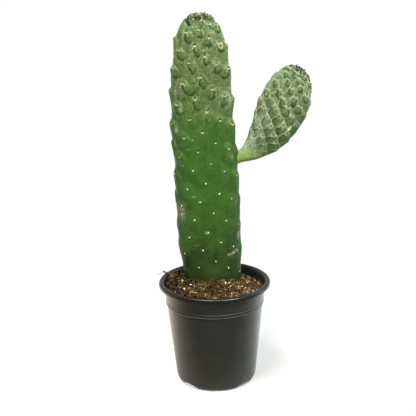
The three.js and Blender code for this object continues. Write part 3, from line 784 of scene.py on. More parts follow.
def pad_relief(pad, base, rows, girth):
    # height of the skin over the plain surface, and masks for its colours
    shape = base.shape[:2]
    shares = np.arange(shape[1]) / shape[1]
    stretch = np.linalg.norm(np.gradient(base, axis=0), axis=2) / np.gradient(rows)[:, None]
    stretch = np.minimum(stretch, 2.2)
    names = ("drop", "crease", "lip", "pit", "net", "bloom_and_sheen", "cork")
    masks = {name: np.zeros(shape) for name in names}
    scale, boss, cell_across, cell_share = np.zeros((4, *shape))
    nearest, second = np.full((2, *shape), 9.0)
    seed = pad["seed"]
    everywhere = slice(None)

    def noise(size, count, noise_seed):
        return wavelets(base.reshape(-1, 3), size, count, noise_seed).reshape(shape)

    def measured(share, along, near=everywhere):
        # millimetres across and up the skin from one spot
        gap = shares[None, :] - share
        across = (gap - np.round(gap)) * girth[near][:, None]
        return across, (rows[near] - along)[:, None] * stretch[near]

    def mark(name, amount, near=everywhere):
        masks[name][near] = np.maximum(masks[name][near], amount)

    uneven_across = 0.60 * noise(7, 10, seed + 3) + 0.3 * noise(3, 12, 5)
    uneven_up = 0.60 * noise(7, 10, seed + 4) + 0.3 * noise(3, 12, 6)
    draw = np.random.default_rng(seed)
    for bump in pad["bumps"]:
        taller, wider, longer, swing, wear_and_highlight = draw.uniform(-1, 1, 5)
        packed = bump.get("packed", 0)
        young = bump["young"] * (1 - packed)
        near = np.abs(rows - bump["along"]) < pad["slope"] + 8
        across, up = measured(bump["share"], bump["along"], near)
        side = np.abs(across)
        # a scale: short rounded step at its arched brow, long even slope below
        beyond = up + pad["arch"] * across**2
        step = 1 - ramp(0, bump["rise"] + 6 * (1 - young), beyond)
        slope = np.clip(1 + beyond / pad["slope"], 0, 1)
        fade = 1 - ramp(0.25, 1.0, side / pad["reach"])
        level = bump["height"] * (1 + 0.10 * taller) - 0.5 * pad["boss"] * young
        scale[near] += np.maximum(level * np.where(beyond > 0, step, slope) * fade, 0) ** 6
        across = across + uneven_across[near]
        up = up + uneven_up[near]
        down = -up
        # a boss: drop-shaped, hangs from the felt spot, leans with the growth. One side and the
        # round lower end are crisp, the other side runs out softly
        wide, long, lean, crisp = bump.get("drop", (0, 0, 0, 0))
        if not crisp:
            wide = (1 + 0.16 * wider) * bump.get("wide", 1)
            long = (1 + 0.14 * longer) * bump.get("long", 1)
            lean = bump["lean"] + 0.12 * swing
            crisp = -1 if bump["share"] % 0.5 < 0.27 else 1
        length = pad["drop_length"] * long * bump["size"]
        belly = 0.6 * length
        half = pad["drop_width"] * wide * bump["size"] * (0.34 + 0.66 * ramp(-2, belly, down))
        round_end = np.sqrt(np.clip(1 - (np.maximum(down - belly, 0) / (length - belly)) ** 2, 0, 1))
        half = np.maximum(half * round_end, 0.05)
        signed = (across - lean * np.maximum(down, 0)) * crisp
        on_crisp = signed > 0
        low_end = ramp(0.5 * length, 0.9 * length, down)
        spread = np.where(on_crisp, 1, 1 + 1.5 * pad["softness"] * (1 - low_end))
        ratio = np.clip(np.abs(signed) / (half * spread), 0, 1)
        hard = np.sqrt(1 - ratio**2.6)
        soft = 1 - ramp(0, 1, ratio)
        dome = np.where(on_crisp, hard, soft + (hard - soft) * low_end)
        body = dome * ramp(-6, 3, down) * (0.4 + 0.6 * ramp(0, belly, down))
        boss[near] = np.maximum(boss[near], pad["boss"] * (1 + 0.15 * taller) * young * body)
        past = np.abs(signed) - half * spread
        # the drop colour is the boss's own cleaner green with painted shade: fuller on its crisp side and
        # at its lower end, and paler at its upper middle as a painted highlight
        filled = np.maximum(ramp(-0.5, 0.8, signed / half), 0.9 * low_end)
        inner = pad["inner"] + (1 - pad["inner"]) * filled
        paler = 1 - 0.7 * bell((down - 4) / 2.8, signed / (0.6 * half + 0.3))
        drop = (1 - ramp(-1.1, 0.4, past)) * inner * paler * ramp(-2.5, 0.5, down)
        mark("drop", drop * (down < length + 0.5) * young, near)
        # painted shade: a dark line along the crisp side and the lower end of each boss
        crease = bell(past / np.where(past > 0, 0.6, 1.9)) * ramp(-2, 2, down)
        crease = crease * (down < length + 1.2) * np.where(on_crisp, 1, 1.2 * low_end)
        mark("crease", crease * young, near)
        # pale lips run out from the felt spot, down along a young brow, up on an old one
        curl = up + (bump["curl"] + 0.04 * wear_and_highlight) * across**2
        long_lip = pad["lip"] * (0.8 + 0.35 * wear_and_highlight)
        lip = bell(curl / 0.95) * (1 - ramp(0.65 * long_lip, long_lip, side))
        mark("lip", lip * bump["lip"] * (0.75 + 0.25 * wear_and_highlight), near)
        ring = bell((past - 1.1) / 0.75) * ramp(-3, 0, down)
        ring = ring * (1 - ramp(0.55, 0.95, down / length)) * np.where(on_crisp, 1, 1 - pad["softness"])
        mark("net", ring * young, near)
        # where the bumps are packed, each fills a cell of its own up to its neighbours
        hung = (across - 0.22 * down) / (0.88 + 0.22 * ramp(-3, 7, down)) * (1 - 0.10 * wider)
        out = np.hypot(hung, (down - 0.42 * pad["cell"]) * (1 - 0.10 * longer)) / pad["cell"]
        closer = out < nearest[near]
        second[near] = np.where(closer, nearest[near], np.minimum(second[near], out))
        nearest[near] = np.minimum(nearest[near], out)
        cell_across[near] = np.where(closer, hung, cell_across[near])
        cell_share[near] = np.where(closer, packed, cell_share[near])
        # painted shade: a dark pit just above each felt spot
        mark("pit", bell(across * 0.8 / 1.2, (up - 2.1) / 1.2) * bump["pit"], near)
        # a pale patch lies on the shoulders of the scales near both edges: waxy bloom with a painted
        # reflection of the side lights
        patch = bell(across / 4.5) * ramp(1, 5, down) * (1 - ramp(9, 21, down))
        mark("bloom_and_sheen", patch * bump["bloom_and_sheen"], near)

    # a band along an edge: on the old pad it darkens both edges as painted shade; on the young pad it
    # marks the smooth lower edge, darker green in part as painted shade
    middle, spread, rise_low, rise_high, fade_low, fade_high = pad["band"]
    from_middle = shares - middle
    from_middle = from_middle - np.round(from_middle / pad["band_turn"]) * pad["band_turn"]
    span = ramp(rise_low, rise_high, rows) - ramp(fade_low, fade_high, rows)
    masks["edge"] = bell(from_middle / spread)[None, :] * span[:, None]
    cell_share = cell_share * ramp(19, 44, rows)[:, None] * (1 - 0.9 * ramp(0.35, 0.85, masks["edge"]))
    border = np.minimum(second - nearest, 1.4 * (0.72 - nearest))
    border += 0.03 * noise(3.5, 12, seed + 7)
    inside = ramp(0.02, 0.13, border) * cell_share
    to_left = cell_across / pad["cell"]
    broken_net = np.clip(0.80 + 0.40 * noise(13, 10, seed + 6), 0.2, 1)
    mark("net", bell(border / 0.080) * cell_share * broken_net)
    # painted shade: each cell is darker towards its left side, with a dark line along its left border
    mark("drop", inside * (0.35 + 0.60 * ramp(0.25, -0.35, to_left)))
    mark("crease", bell((border - 0.20) / 0.16) * ramp(0.12, -0.30, to_left) * cell_share)
    boss += 0.5 * pad["boss"] * inside
    for share, along, wide, long in pad["scars"]:
        across, up = measured(share, along)
        mark("cork", bell(across / wide, up / long))
    for (share, along), (far_share, far_along), wide, tip in pad["slits"]:
        across, up = measured(share, along)
        far_across = (far_share - share) * girth[np.argmin(np.abs(rows - far_along))]
        far_up = far_along - along
        t = np.clip((across * far_across + up * far_up) / (far_across**2 + far_up**2), 0, 1)
        slit = bell(np.hypot(across - t * far_across, up - t * far_up) / (wide + (tip - wide) * t))
        # painted shade: the slit is painted dark where it is sunk
        mark("pit", slit)
        boss -= 2.2 * slit
    # pale spots over the bloom: painted glints on bumps by the edges and the neck, and waxy patches; the
    # drop colour is cleared under them
    for share, along, wide, long in pad["wax_and_glints"]:
        across, up = measured(share, along)
        wax_and_glints = 2.0 * bell(across / wide, up / long)
        masks["drop"] *= 1 - 0.7 * np.minimum(wax_and_glints, 1)
        mark("bloom_and_sheen", wax_and_glints)
    for share, spread, low, high in pad["frost"]:
        # a rough pale bloom, broken into specks
        specks = np.clip(0.75 + 0.75 * noise(2.6, 16, seed + 8), 0, 1.5)
        span = ramp(low, low + 12, rows) - ramp(high - 24, high, rows)
        frost = bell((shares - share) / spread)[None, :] * span[:, None] * specks
        masks["drop"] *= 1 - 0.6 * np.minimum(frost, 1)
        masks["crease"] *= 1 - 0.5 * np.minimum(frost, 1)
        mark("bloom_and_sheen", 2.2 * frost)
    for share, along, wide, tall in pad["knobs"]:
        across, up = measured(share, along)
        boss += tall * bell(across / wide, up / wide)
    for share, along, wide, tall in pad["rings"]:
        # a worn areole: a pale corky ring round a sunken middle
        across, up = measured(share, along)
        out = np.hypot(across / wide, up / tall)
        masks["lip"] *= ramp(0.8, 1.5, out)
        mark("lip", 0.8 * bell((out - 1) / 0.28))
        masks["drop"] *= ramp(0.8, 1.6, out)
        masks["pit"] *= ramp(0.8, 1.5, out)
        # painted shade: the sunken middle is painted dark
        mark("pit", 0.7 * bell(out / 0.45))
    # painted shade: the skin is darkened under the crown buds, towards the tip
    masks["crown"] = ramp(rows[-1] - pad["crown"], rows[-1] - 6, rows)[:, None] * np.ones(shape)
    relief = scale ** (1 / 6) + boss - 0.9 * masks["pit"] + 0.30 * masks["lip"]
    return relief + pad["net"] * masks["net"], masks


def build_pad(name, pad, rows, columns, undulation):
    # the skin stands out from the plain surface by its relief and by soft undulations; a fan of
    # faces closes each end
    base, girth = pad_base(pad, rows, columns)
    across = np.roll(base, -1, axis=1) - np.roll(base, 1, axis=1)
    normals = np.cross(across, np.gradient(base, axis=0))
    normals /= np.maximum(np.linalg.norm(normals, axis=2, keepdims=True), 1e-9)
    relief, masks = pad_relief(pad, base, rows, girth)
    swell = [
        share * wavelets(base.reshape(-1, 3), size, count, pad["seed"] + step).reshape(relief.shape)
        for share, size, count, step in (
            (undulation, 34, 12, 1), (0.3 * undulation, 9, 16, 2), (pad["wrinkle"], 4, 18, 5)
        )
    ]
    fresh = ramp(rows[0] + 0.55 * (rows[-1] - rows[0]), rows[0] + 0.8 * (rows[-1] - rows[0]), rows)
    out = relief + swell[0] + swell[1] + fresh[:, None] * swell[2]
    skin = base + normals * out[:, :, None]
    ends = []
    for row, beyond in ((0, -0.4), (-1, 0.5)):
        off_axis = float(along_stations(pad["centre"], rows[row])) * pad["side"]
        ends.append(pad["root"] + (rows[row] + beyond) * pad["axis"] + off_axis)
    points = np.vstack([skin.reshape(-1, 3), *ends]) / 1000
    ring = np.arange(columns)
    following = (ring + 1) % columns
    starts = np.arange(len(rows) - 1)[:, None] * columns
    a = (starts + ring[None, :]).ravel()
    b = (starts + following[None, :]).ravel()
    quads = np.stack([a, b, b + columns, a + columns], axis=1).tolist()
    low_end = len(rows) * columns
    top = low_end - columns
    foot = [(low_end, int(n), int(r)) for r, n in zip(ring, following)]
    crown = [(low_end + 1, int(top + r), int(top + n)) for r, n in zip(ring, following)]
    piece = new_piece(name, points, quads + foot + crown)
    for mask_name, mask in masks.items():
        paint(piece, mask_name, np.r_[mask.ravel(), 0, 0])
    return piece, skin, normals


def spiral(first, last, phase, divergence, rule):
    # one bump for each step, each by the same share of the girth further round
    bumps = []
    for step in range(first, last + 1):
        share = (phase + divergence * step) % 1.0
        bumps.append({"share": share, **rule(step, share)})
    return bumps


# the drops that stand out in front: width, length, lean, and the side that is crisp (-1 is left)
main_drops = {
    -53: (0.85, 0.70, 0.15, -1),
    -46: (0.90, 0.90, 0.20, 1),
    -43: (0.95, 0.85, -0.10, 1),
    -40: (1.00, 0.95, 0.00, -1),
    -39: (1.10, 1.10, 0.42, -1),
    -36: (0.85, 1.10, 0.30, -1),
    -33: (0.90, 0.85, 0.12, -1),
    -30: (1.15, 0.90, 0.05, -1),
    -29: (1.10, 1.05, 0.40, -1),
    -26: (0.95, 1.10, 0.45, -1),
    -23: (1.05, 1.20, 0.28, -1),
    -20: (1.15, 1.10, -0.12, 1),
    -17: (0.90, 1.10, -0.20, -1),
    -16: (1.55, 1.25, 0.75, -1),
    -13: (1.25, 1.20, 0.25, -1),
    -10: (1.20, 1.15, 0.15, -1),
}
beside_slit = (-52, -49, -42)


def main_bump(step, share):
    # where the bump of one step stands along the pad, and what it is like there
    behind = 0.57 < share < 0.93
    turn = 2 * math.pi * (share - 0.5 if behind else share)
    crowded = max(0, -36 - step)
    along = 362.2 - 3 * step - 0.045 * crowded**2 + (12 if behind else 0)
    along += 12.8 * math.cos(turn) - 13.7 * math.sin(turn)
    along += 5 * math.exp(-(((along - 428) / 30) ** 2))
    along = min(along, 496 + 0.12 * (along - 496))
    young = one_ramp(350, 408, along)
    at_edge = abs(math.cos(2 * math.pi * share)) ** 2.5
    height = 1.2 + 2.8 * one_ramp(170, 380, along) - one_ramp(470, 500, along)
    height *= 1 - (1 - at_edge) * (0.88 - 0.10 * one_ramp(310, 410, along))
    from_edge = abs((share + 0.25) % 0.5 - 0.25)
    shoulder = math.exp(-(((from_edge - 0.085) / 0.045) ** 2))
    small_felt = 0.2 * one_ramp(476, 490, along)
    small_felt += 0.25 * one_ramp(300, 330, along) * one_ramp(420, 395, along)
    bump = {
        "along": along,
        "height": height,
        "rise": 6.6 - 2 * one_ramp(430, 470, along) + 3 * (1 - at_edge),
        "curl": 0.32 - 0.62 * one_ramp(425, 395, along),
        "young": young * (0.1 if step in beside_slit else 1),
        "size": 1.0 - 0.3 * one_ramp(478, 492, along),
        "lean": 0.42 * math.cos(2 * math.pi * share) * (1 if share < 0.5 else -1),
        "lip": 0.12 + 0.88 * one_ramp(300, 375, along) - 0.25 * one_ramp(395, 430, along),
        "pit": 0.45 + 0.55 * one_ramp(260, 370, along),
        "bloom_and_sheen": 0.4 * shoulder * one_ramp(230, 340, along),
        "felt": 1 - 0.25 * young - small_felt,
    }
    if step in main_drops:
        bump["drop"] = main_drops[step]
    return bump


# places on the skin are (share of the girth, millimetres along the axis), then sizes
main_pad = {
    "axis": np.array((0.0, 0, 1)),
    "side": np.array((1.0, 0, 0)),
    "back": np.array((0.0, 1, 0)),
    "root": np.array((0.0, 21, 0)),
    "squareness": 2.35,
    "reach": 11.5,
    "arch": 0.075,
    "slope": 27,
    "seed": 21,
    "cell": 14,
    "drop_length": 12.2,
    "drop_width": 3.8,
    "softness": 1.0,
    "inner": 0.45,
    "boss": 0.55,
    "net": 0.10,
    "wrinkle": 0.14,
    "lip": 4.0,
    "band": (0.0, 0.085, 0, 1, 600, 700),
    "band_turn": 0.5,
    "rings": [(0.423, 462.0, 2.1, 3.2)],
    "bare": [(0.96, 497), (0.02, 495), (0.09, 491), (0.14, 488)],
    "knobs": [(0.445, 494.5, 3.6, 2.6)],
    "crown": 13,
    "frost": [],
    "scars": [
        (0.066, 240, 3.8, 9), (0.385, 178, 2.6, 1.5), (0.41, 180.5, 2.8, 1.6), (0.433, 183.5, 2.6, 1.9),
        (0.455, 205, 1.6, 5), (0.236, 211, 3, 2), (0.155, 192, 3.2, 0.6), (0.128, 327, 1.4, 0.7),
        (0.088, 305, 0.8, 0.7), (0.17, 340, 1.6, 0.7), (0.155, 262, 2.2, 0.8), (0.93, 300, 3, 9),
        (0.7, 228, 5, 3),
    ],
    "wax_and_glints": [
        (0.438, 316, 1.7, 3.2), (0.040, 335, 1.5, 4.2), (0.055, 404, 2.2, 7), (0.452, 392, 2.6, 8),
        (0.097, 381, 2.2, 4.5), (0.060, 354, 2.0, 4.0),
    ],
    "slits": [((-0.070, 499.0), (0.125, 487.4), 1.9, 1.0)],
    "centre": [
        (100, 0), (145, -1), (165, -3.3), (240, -6.4), (300, -7.6), (370, -11.4), (440, -11.8),
        (480, -12), (504, -12.2),
    ],
    "half_width": [
        (100, 8), (108, 16), (120, 27), (131, 34.6), (141, 37.6), (165, 41.4), (200, 43.4),
        (250, 43.2), (300, 42.4), (360, 41), (400, 40), (430, 37.2), (452, 34.6), (470, 31.2),
        (484, 26), (494, 19), (500, 12), (503.5, 3),
    ],
    "half_thickness": [
        (100, 6), (108, 10), (122, 13.5), (141, 15.5), (200, 15.5), (300, 14.5), (400, 13.2),
        (452, 12), (480, 10), (494, 7.5), (500, 5), (503.5, 1.5),
    ],
    "bumps": spiral(-58, 77, 0.2437, -0.3044, main_bump),
}
main_rows = np.r_[
    np.linspace(100.4, 140, 26), np.linspace(141.8, 318, 98), np.linspace(319, 478, 200),
    np.linspace(478.6, 503.2, 50)
]
main, main_skin, main_normals = build_pad(
    "main_pad_skin", main_pad, main_rows, columns=248, undulation=0.35
)

# the marks on either pad, painted over its green from the bloom and painted sheen up to the pits; the
# crown, crease and pit marks are painted shade, and the drop mark partly so
skin_mark, skin_in, skin_out = new_group(
    "skin_marks",
    {"Green": "Color", "Drop": "Color", "Deep": "Color", "Pale": "Color", "Veins": "Float"},
    {"Skin": "Color"},
)


def add_streaks(tree, flatness, scale, detail, distortion=0.0):
    # noise that is drawn out upwards, the more the lower its flatness
    place = add_node(tree, "TexCoord").outputs["Object"]
    drawn_out = add_node(tree, "Mapping", {"Vector": place, "Scale": (1, 1, flatness)})
    shape = {"Vector": drawn_out, "Scale": scale, "Detail": detail, "Distortion": distortion}
    return add_node(tree, "TexNoise", shape).outputs["Fac"]


streaky = add_range(skin_mark, add_streaks(skin_mark, 0.22, 420, 3), 0.35, 0.62, 0.5, 1)
flecky = add_range(skin_mark, add_streaks(skin_mark, 1, 520, 2), 0.44, 0.56)
off_vein = add_math(skin_mark, "SUBTRACT", add_streaks(skin_mark, 0.38, 95, 2.5, 0.4), 0.5)
off_vein = add_math(skin_mark, "ABSOLUTE", off_vein)
on_vein = add_range(skin_mark, off_vein, 0.030, 0.0)
vein = add_math(skin_mark, "MULTIPLY", on_vein, skin_in.outputs["Veins"])
shade = add_layers(skin_mark, skin_in.outputs["Green"], (vein, skin_in.outputs["Pale"]))
for mask_name, strength, broken, colour in (
    ("bloom_and_sheen", 0.42, streaky, (0.380, 0.470, 0.330)),
    ("crown", 0.95, None, (0.024, 0.040, 0.011)),
    ("net", 0.85, streaky, skin_in.outputs["Pale"]),
    ("drop", 0.95, None, skin_in.outputs["Drop"]),
    ("crease", 0.75, None, skin_in.outputs["Deep"]),
    ("lip", 1.1, None, (0.560, 0.530, 0.300)),
    ("cork", 1.3, flecky, (0.470, 0.460, 0.310)),
    ("pit", 0.95, None, (0.012, 0.020, 0.006)),
):
    amount = add_math(skin_mark, "MULTIPLY", add_painted(skin_mark, mask_name), strength)
    if broken is not None:
        amount = add_math(skin_mark, "MULTIPLY", amount, broken)
    shade = add_layers(skin_mark, shade, (amount, colour))
skin_mark.links.new(shade, skin_out.inputs["Skin"])


def add_marks(tree, **colours):
    marks = add_node(tree, "Group", node_tree=skin_mark)
    plug(tree, marks, colours)
    return marks


main_finish, tree, shader = new_finish("old_pad_skin")
speckle, blotch = add_grain(tree, 0.0045, 0.045)
fine_speckle, fine_blotch = add_grain(tree, 0.0022, 0.012)
waver = add_range(tree, blotch, 0.2, 0.8, -0.035, 0.035)
level = add_math(tree, "ADD", add_place(tree)["Z"], waver)
upper = add_range(tree, level, 0.34, 0.42)
pale_mottle = add_math(tree, "MULTIPLY", add_range(tree, speckle, 0.42, 0.70, 0, 0.55), upper)
dark_mottle = add_math(tree, "MULTIPLY", add_range(tree, speckle, 0.56, 0.32, 0, 0.45), upper)
green = add_layers(
    tree,
    (0.034, 0.080, 0.012),
    (add_range(tree, level, 0.15, 0.27), (0.042, 0.135, 0.008)),
    # painted shade: darker and bluer towards both edges
    (add_math(tree, "MULTIPLY", add_painted(tree, "edge"), 0.6), (0.036, 0.090, 0.028)),
    (add_range(tree, blotch, 0.40, 0.66, 0, 0.5), (0.062, 0.150, 0.024)),
    (add_range(tree, fine_speckle, 0.45, 0.68, 0, 0.35), (0.085, 0.170, 0.045)),
    (add_range(tree, fine_blotch, 0.52, 0.34, 0, 0.45), (0.024, 0.075, 0.010)),
    (upper, (0.106, 0.167, 0.051)),
    (pale_mottle, (0.185, 0.252, 0.102)),
    (dark_mottle, (0.048, 0.098, 0.018)),
    # painted shade: darker towards the soil at the foot of the pad
    (add_range(tree, level, 0.190, 0.140, 0, 0.7), (0.020, 0.036, 0.009)),
)
marks = add_marks(
    tree, Green=green, Drop=(0.036, 0.102, 0.011), Deep=(0.012, 0.040, 0.004),
    Pale=(0.260, 0.340, 0.170), Veins=add_math(tree, "MULTIPLY", upper, 0.6),
)
plug(tree, shader, {
    "Base Color": marks, "Roughness": add_range(tree, blotch, 0.3, 0.7, 0.42, 0.56),
    "Specular IOR Level": 0.30, "Normal": add_bump(tree, speckle, 0.35, 0.0004),
})
main.data.materials.append(main_finish)
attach(main, "root")
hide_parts("main_pad")


# ---- Felt spots --------------------------------------------------------------------------
# Each bump ends in an areole: a small oval cushion of cream felt with a tuft of short bristles.
# One cushion is modelled and copied onto the bumps past the soil or the neck, upright to the skin.
def felt_shape(bristles, seed):
    corners, sides = lump_shape(1)
    points = (corners * (1, 1, 0.45)).tolist()
    draw = np.random.default_rng(seed)
    for _ in range(bristles):
        bearing = draw.uniform(0, 2 * math.pi)
        lean = draw.uniform(0.1, 1.0)
        outward = np.array((math.cos(bearing) * lean, math.sin(bearing) * lean, 0))
        foot = 0.6 * outward + (0, 0, 0.2)
        tip = foot + 0.6 * (outward + (0, 0, 0.8))
        first = len(points)
        for corner in range(3):
            turn = bearing + corner * 2.094
            points.append((foot + 0.07 * np.array((math.cos(turn), math.sin(turn), 0))).tolist())
            sides.append((first + corner, first + (corner + 1) % 3, first + 3))
        points.append(tip.tolist())
    return np.array(points), sides


def standing(spot, *axes):
    # a 4x4 place in metres from a spot and three axes in millimetres
    place = np.eye(4)
    place[:3, :3] = np.stack(axes, axis=1) / 1000
    place[:3, 3] = spot / 1000
    return place


def felt_places(pad, skin, normals, rows, size, low, seed):
    draw = np.random.default_rng(seed)
    columns = skin.shape[1]
    places = []
    for bump in pad["bumps"]:
        if bump["along"] < low:
            continue
        row = int(np.argmin(np.abs(rows - bump["along"])))
        column = int(round(bump["share"] * columns)) % columns
        out = normals[row, column]
        upward = pad["axis"] - out * float(out @ pad["axis"])
        upward /= np.linalg.norm(upward)
        sideways = np.cross(upward, out)
        at_edge = abs(math.cos(2 * math.pi * bump["share"])) ** 8
        grow = size * draw.uniform(0.75, 1.15) * (1 - 0.35 * at_edge) * bump["felt"]
        wide = grow * (0.9 + 0.25 * bump["young"])
        tall = grow * (1.25 - 0.40 * bump["young"])
        spot = skin[row, column] - out * grow * 0.3 * at_edge
        places.append(standing(spot, sideways * wide, upward * tall, out * grow))
    return places


# the felt is browner on the upper part of the old pad
felt_finish, tree, shader = new_finish("cream_felt")
speckle, blotch = add_grain(tree, 0.0006, 0.006)
felt_place = add_place(tree)
high_up = add_range(tree, felt_place["Z"], 0.24, 0.33, 0, 0.8)
on_old_pad = add_range(tree, felt_place["X"], 0.035, 0.045, 1, 0)
blotched = add_range(tree, blotch, 0.35, 0.65)
cream = add_layers(tree, (0.68, 0.72, 0.36), (blotched, (0.88, 0.93, 0.66)))
browner = add_layers(tree, (0.56, 0.40, 0.12), (blotched, (0.90, 0.78, 0.44)))
plug(tree, shader, {
    "Base Color": add_layers(tree, cream, (add_math(tree, "MULTIPLY", high_up, on_old_pad), browner)),
    "Roughness": 0.95, "Specular IOR Level": 0.2, "Normal": add_bump(tree, speckle, 0.8, 0.0004),
})
main_felt = scatter(
    "main_pad_felt_spots",
    felt_shape(bristles=9, seed=31),
    felt_places(main_pad, main_skin, main_normals, main_rows, size=1.4, low=146, seed=32),
    felt_finish,
    jitter=0.12,
    seed=33,
)


# ---- Crown buds --------------------------------------------------------------------------
# The growing tip is a crowd of tiny new bumps, plump and yellow-green, each drawn out to a short
# blunt tip. One bud is modelled and set in the turns of a spiral over the whole crown.
GOLDEN_SHARE = 0.38197  # of a turn, from one bud to the next


def bud_shape():
    points, sides = shape_of(bpy.ops.mesh.primitive_uv_sphere_add, segments=8, ring_count=6, radius=1)
    peak = np.clip(points[:, 2], 0, 1)
    points[:, :2] *= (1 - 0.45 * peak**2)[:, None]
    points[:, 0] += 0.35 * peak**2
    points[:, 2] += 0.35 * peak**3
    return points, sides


def bud_places(pad, skin, normals, rows, count, spacing, size, seed):
    # one bud for each equal patch of skin, from the tip down, each a golden angle further round
    draw = np.random.default_rng(seed)
    columns = skin.shape[1]
    steps = np.linalg.norm(np.diff(skin, axis=0), axis=2).mean(axis=1)
    rings = np.linalg.norm(skin - np.roll(skin, 1, axis=1), axis=2).sum(axis=1)
    from_tip = np.cumsum((rings[1:] * steps)[::-1])
    places = []
    for number in range(count):
        row = len(rows) - 1 - int(np.searchsorted(from_tip, (number + 0.4) * spacing**2))
        row = min(row, len(rows) - 3)
        share = (0.31 + number * GOLDEN_SHARE) % 1.0
        column = int(round(share * columns)) % columns
        out = normals[row, column] + pad["axis"] * 0.5
        out /= np.linalg.norm(out)
        turn = draw.uniform(0, 6.28)
        grow = size * draw.uniform(0.7, 1.2) * (1 - 0.35 * number / count)
        tall = draw.uniform(0.7, 1.1)
        if any(math.hypot(5 * (share - x), (rows[row] - z) / 20) < 0.25 for x, z in pad["bare"]):
            continue
        first_side = np.cross(out, pad["side"] + 0.01)
        first_side /= np.linalg.norm(first_side)
        next_side = np.cross(out, first_side)
        places.append(standing(
            skin[row, column] - out * grow * (0.6 * number / count - 0.2),
            (math.cos(turn) * first_side + math.sin(turn) * next_side) * grow,
            (math.cos(turn) * next_side - math.sin(turn) * first_side) * grow,
            out * grow * tall,
        ))
    return places


bud_finish = grainy_finish(
    "crown_bud", [(0.042, 0.068, 0.017), (0.110, 0.150, 0.044), (0.290, 0.315, 0.115)],
    (0.0012, 0.007), ("blotch", 0.48, 0.62, 0.6, (0.032, 0.048, 0.012)),
    roughness=0.5, specular=0.4, bump=(0.4, 0.0004),
)
main_buds = scatter(
    "main_pad_crown_buds",
    bud_shape(),
    bud_places(
        main_pad, main_skin, main_normals, main_rows, count=64, spacing=3.6, size=2.3, seed=41
    ),
    bud_finish,
    jitter=0.12,
    seed=42,
)


# ---- Side pad ----------------------------------------------------------------------------
# The younger joint: thinner and paler, with the same bumps set closer and ringed by a fine raised
# net. A smooth yellow-green neck joins it to the edge of the old one.
SIDE_TILT = math.radians(32.2)
SIDE_TURN = math.radians(14)


def side_bump(step, share):
    # the same for the side pad, whose bumps are packed in cells up to its upper third
    crowded = max(0, -12 - step)
    along = 111.2 - 1.513 * step - 0.03 * crowded**2
    along = min(along - 1.8 * math.sin(2 * math.pi * share), 144)
    grown = one_ramp(16, 44, along)
    below = max(0.0, 1 - abs(share - 0.5) / 0.09) * (1 - one_ramp(112, 134, along))
    grown *= 1 - 0.85 * one_ramp(0.15, 0.6, below)
    broad = one_ramp(22, 40, along) * (1 - one_ramp(85, 112, along))
    return {
        "along": along,
        "height": 0.5 + 1.8 * one_ramp(20, 60, along) - 0.5 * one_ramp(130, 148, along),
        "rise": 3.2,
        "curl": 0.32 * grown - 0.1,
        "packed": one_ramp(100, 78, along),
        "young": grown,
        "size": 1.0 - 0.36 * one_ramp(108, 142, along) - 0.25 * (1 - one_ramp(25, 50, along)),
        "wide": 1 + 0.30 * broad,
        "long": 1 + 0.12 * broad,
        "lean": (0.45 - 0.55 * one_ramp(0.14, 0.42, share)) if share < 0.5 else -0.2,
        "lip": 0.4 * grown,
        "pit": grown,
        "felt": 0.40 + 0.55 * one_ramp(0.12, 0.2, abs(share - 0.25)),
        "bloom_and_sheen": 0.0,
    }


side_axis = np.array((math.sin(SIDE_TILT), 0, math.cos(SIDE_TILT)))
side_flat = np.array((math.cos(SIDE_TILT), 0, -math.sin(SIDE_TILT)))
side_flat = side_flat * math.cos(SIDE_TURN) - np.cross(side_axis, side_flat) * math.sin(SIDE_TURN)
side_pad = {
    "axis": side_axis,
    "side": side_flat,
    "back": np.cross(side_axis, side_flat),
    "root": np.array((35.0, 21, 310)),
    "squareness": 2.2,
    "reach": 7.6,
    "arch": 0.11,
    "slope": 17,
    "seed": 51,
    "cell": 12,
    "drop_length": 10.6,
    "drop_width": 4.1,
    "softness": 0.35,
    "inner": 0.45,
    "boss": 0.4,
    "net": 0.40,
    "wrinkle": 0.10,
    "lip": 3.0,
    "band": (0.49, 0.100, 28, 62, 92, 128),
    "band_turn": 1.0,
    "rings": [],
    "bare": [],
    "knobs": [],
    "crown": 7,
    "frost": [(0.09, 0.115, 8, 84)],
    "scars": [(0.04, 91, 1.2, 3.0), (0.04, 103, 0.9, 1.6), (0.72, 60, 3, 2)],
    "wax_and_glints": [(0.42, 72.8, 1.4, 3.2), (0.06, 95, 1.4, 2.6), (0.46, 124, 1.6, 6.0)],
    "slits": [((0.055, 46), (0.058, 44.5), 0.8, 0.6), ((0.345, 99.5), (0.350, 98), 0.7, 0.5)],
    "centre": [
        (-5, 0), (0, 1.2), (8, 5.6), (15, 9.7), (25, 13.5), (40, 17), (55, 17.5), (70, 16.5),
        (85, 15.5), (100, 13.5), (130, 10.2), (148.5, 7.6),
    ],
    "half_width": [
        (-5, 3), (0, 6.4), (8, 10.4), (15, 13), (25, 16.6), (40, 22), (55, 26.4), (70, 30),
        (85, 32.2), (100, 32.4), (115, 30.2), (130, 24.6), (138, 19), (143, 13.4), (146.4, 8),
        (148.5, 2.5),
    ],
    "half_thickness": [
        (-5, 3), (0, 5), (8, 6.2), (25, 7), (60, 8), (110, 7.6), (136, 6), (144, 4), (148.5, 1.2),
    ],
    "bumps": spiral(-30, 66, 0.1485, 0.8154, side_bump),
}
side_rows = np.r_[np.linspace(-4.6, 128, 150), np.linspace(128.6, 148.2, 38)]
side, side_skin, side_normals = build_pad(
    "side_pad_skin", side_pad, side_rows, columns=200, undulation=0.18
)

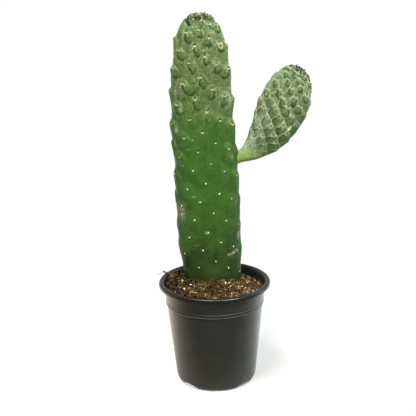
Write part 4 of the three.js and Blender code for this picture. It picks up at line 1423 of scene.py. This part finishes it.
side_finish, tree, shader = new_finish("young_pad_skin")
speckle, blotch = add_grain(tree, 0.0035, 0.026)
side_place = add_place(tree)
from_neck = add_math(
    tree, "ADD", side_place["X"], add_range(tree, side_place["Z"], 0.305, 0.350, 0, 0.075)
)
from_neck = add_math(tree, "ADD", from_neck, add_range(tree, blotch, 0.2, 0.8, -0.02, 0.02))
green = add_layers(
    tree,
    (0.250, 0.420, 0.050),
    (add_range(tree, from_neck, 0.045, 0.105), (0.125, 0.200, 0.070)),
    (add_range(tree, speckle, 0.42, 0.7, 0, 0.5), (0.33, 0.39, 0.23)),
    (add_range(tree, speckle, 0.54, 0.3, 0, 0.5), (0.060, 0.105, 0.024)),
    (add_range(tree, from_neck, 0.050, 0.094, 0.80, 0), (0.245, 0.400, 0.090)),
    # the smooth lower edge is darker green, partly as painted shade
    (add_math(tree, "MULTIPLY", add_painted(tree, "edge"), 0.75), (0.038, 0.112, 0.022)),
)
marks = add_marks(
    tree, Green=green, Drop=(0.048, 0.108, 0.014), Deep=(0.012, 0.040, 0.004),
    Pale=(0.460, 0.500, 0.330), Veins=0.3,
)
plug(tree, shader, {
    "Base Color": marks, "Roughness": 0.52, "Specular IOR Level": 0.4,
    "Normal": add_bump(tree, speckle, 0.35, 0.0004),
})
side.data.materials.append(side_finish)
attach(side, "root")
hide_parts("side_pad")

# three large spots in a row near the right edge, besides the one on each bump
edge_spots = [{"share": 0.414, "along": along, "young": 0, "felt": 2.3} for along in (70.6, 73.0, 75.4)]
edge_pad = {**side_pad, "bumps": edge_spots}
side_felt = scatter(
    "side_pad_felt_spots",
    felt_shape(bristles=9, seed=61),
    felt_places(side_pad, side_skin, side_normals, side_rows, size=0.85, low=24, seed=62)
    + felt_places(edge_pad, side_skin, side_normals, side_rows, size=0.85, low=24, seed=64),
    felt_finish,
    jitter=0.12,
    seed=63,
)
side_buds = scatter(
    "side_pad_crown_buds",
    bud_shape(),
    bud_places(
        side_pad, side_skin, side_normals, side_rows, count=46, spacing=3.0, size=1.6, seed=71
    ),
    bud_finish,
    jitter=0.12,
    seed=72,
)
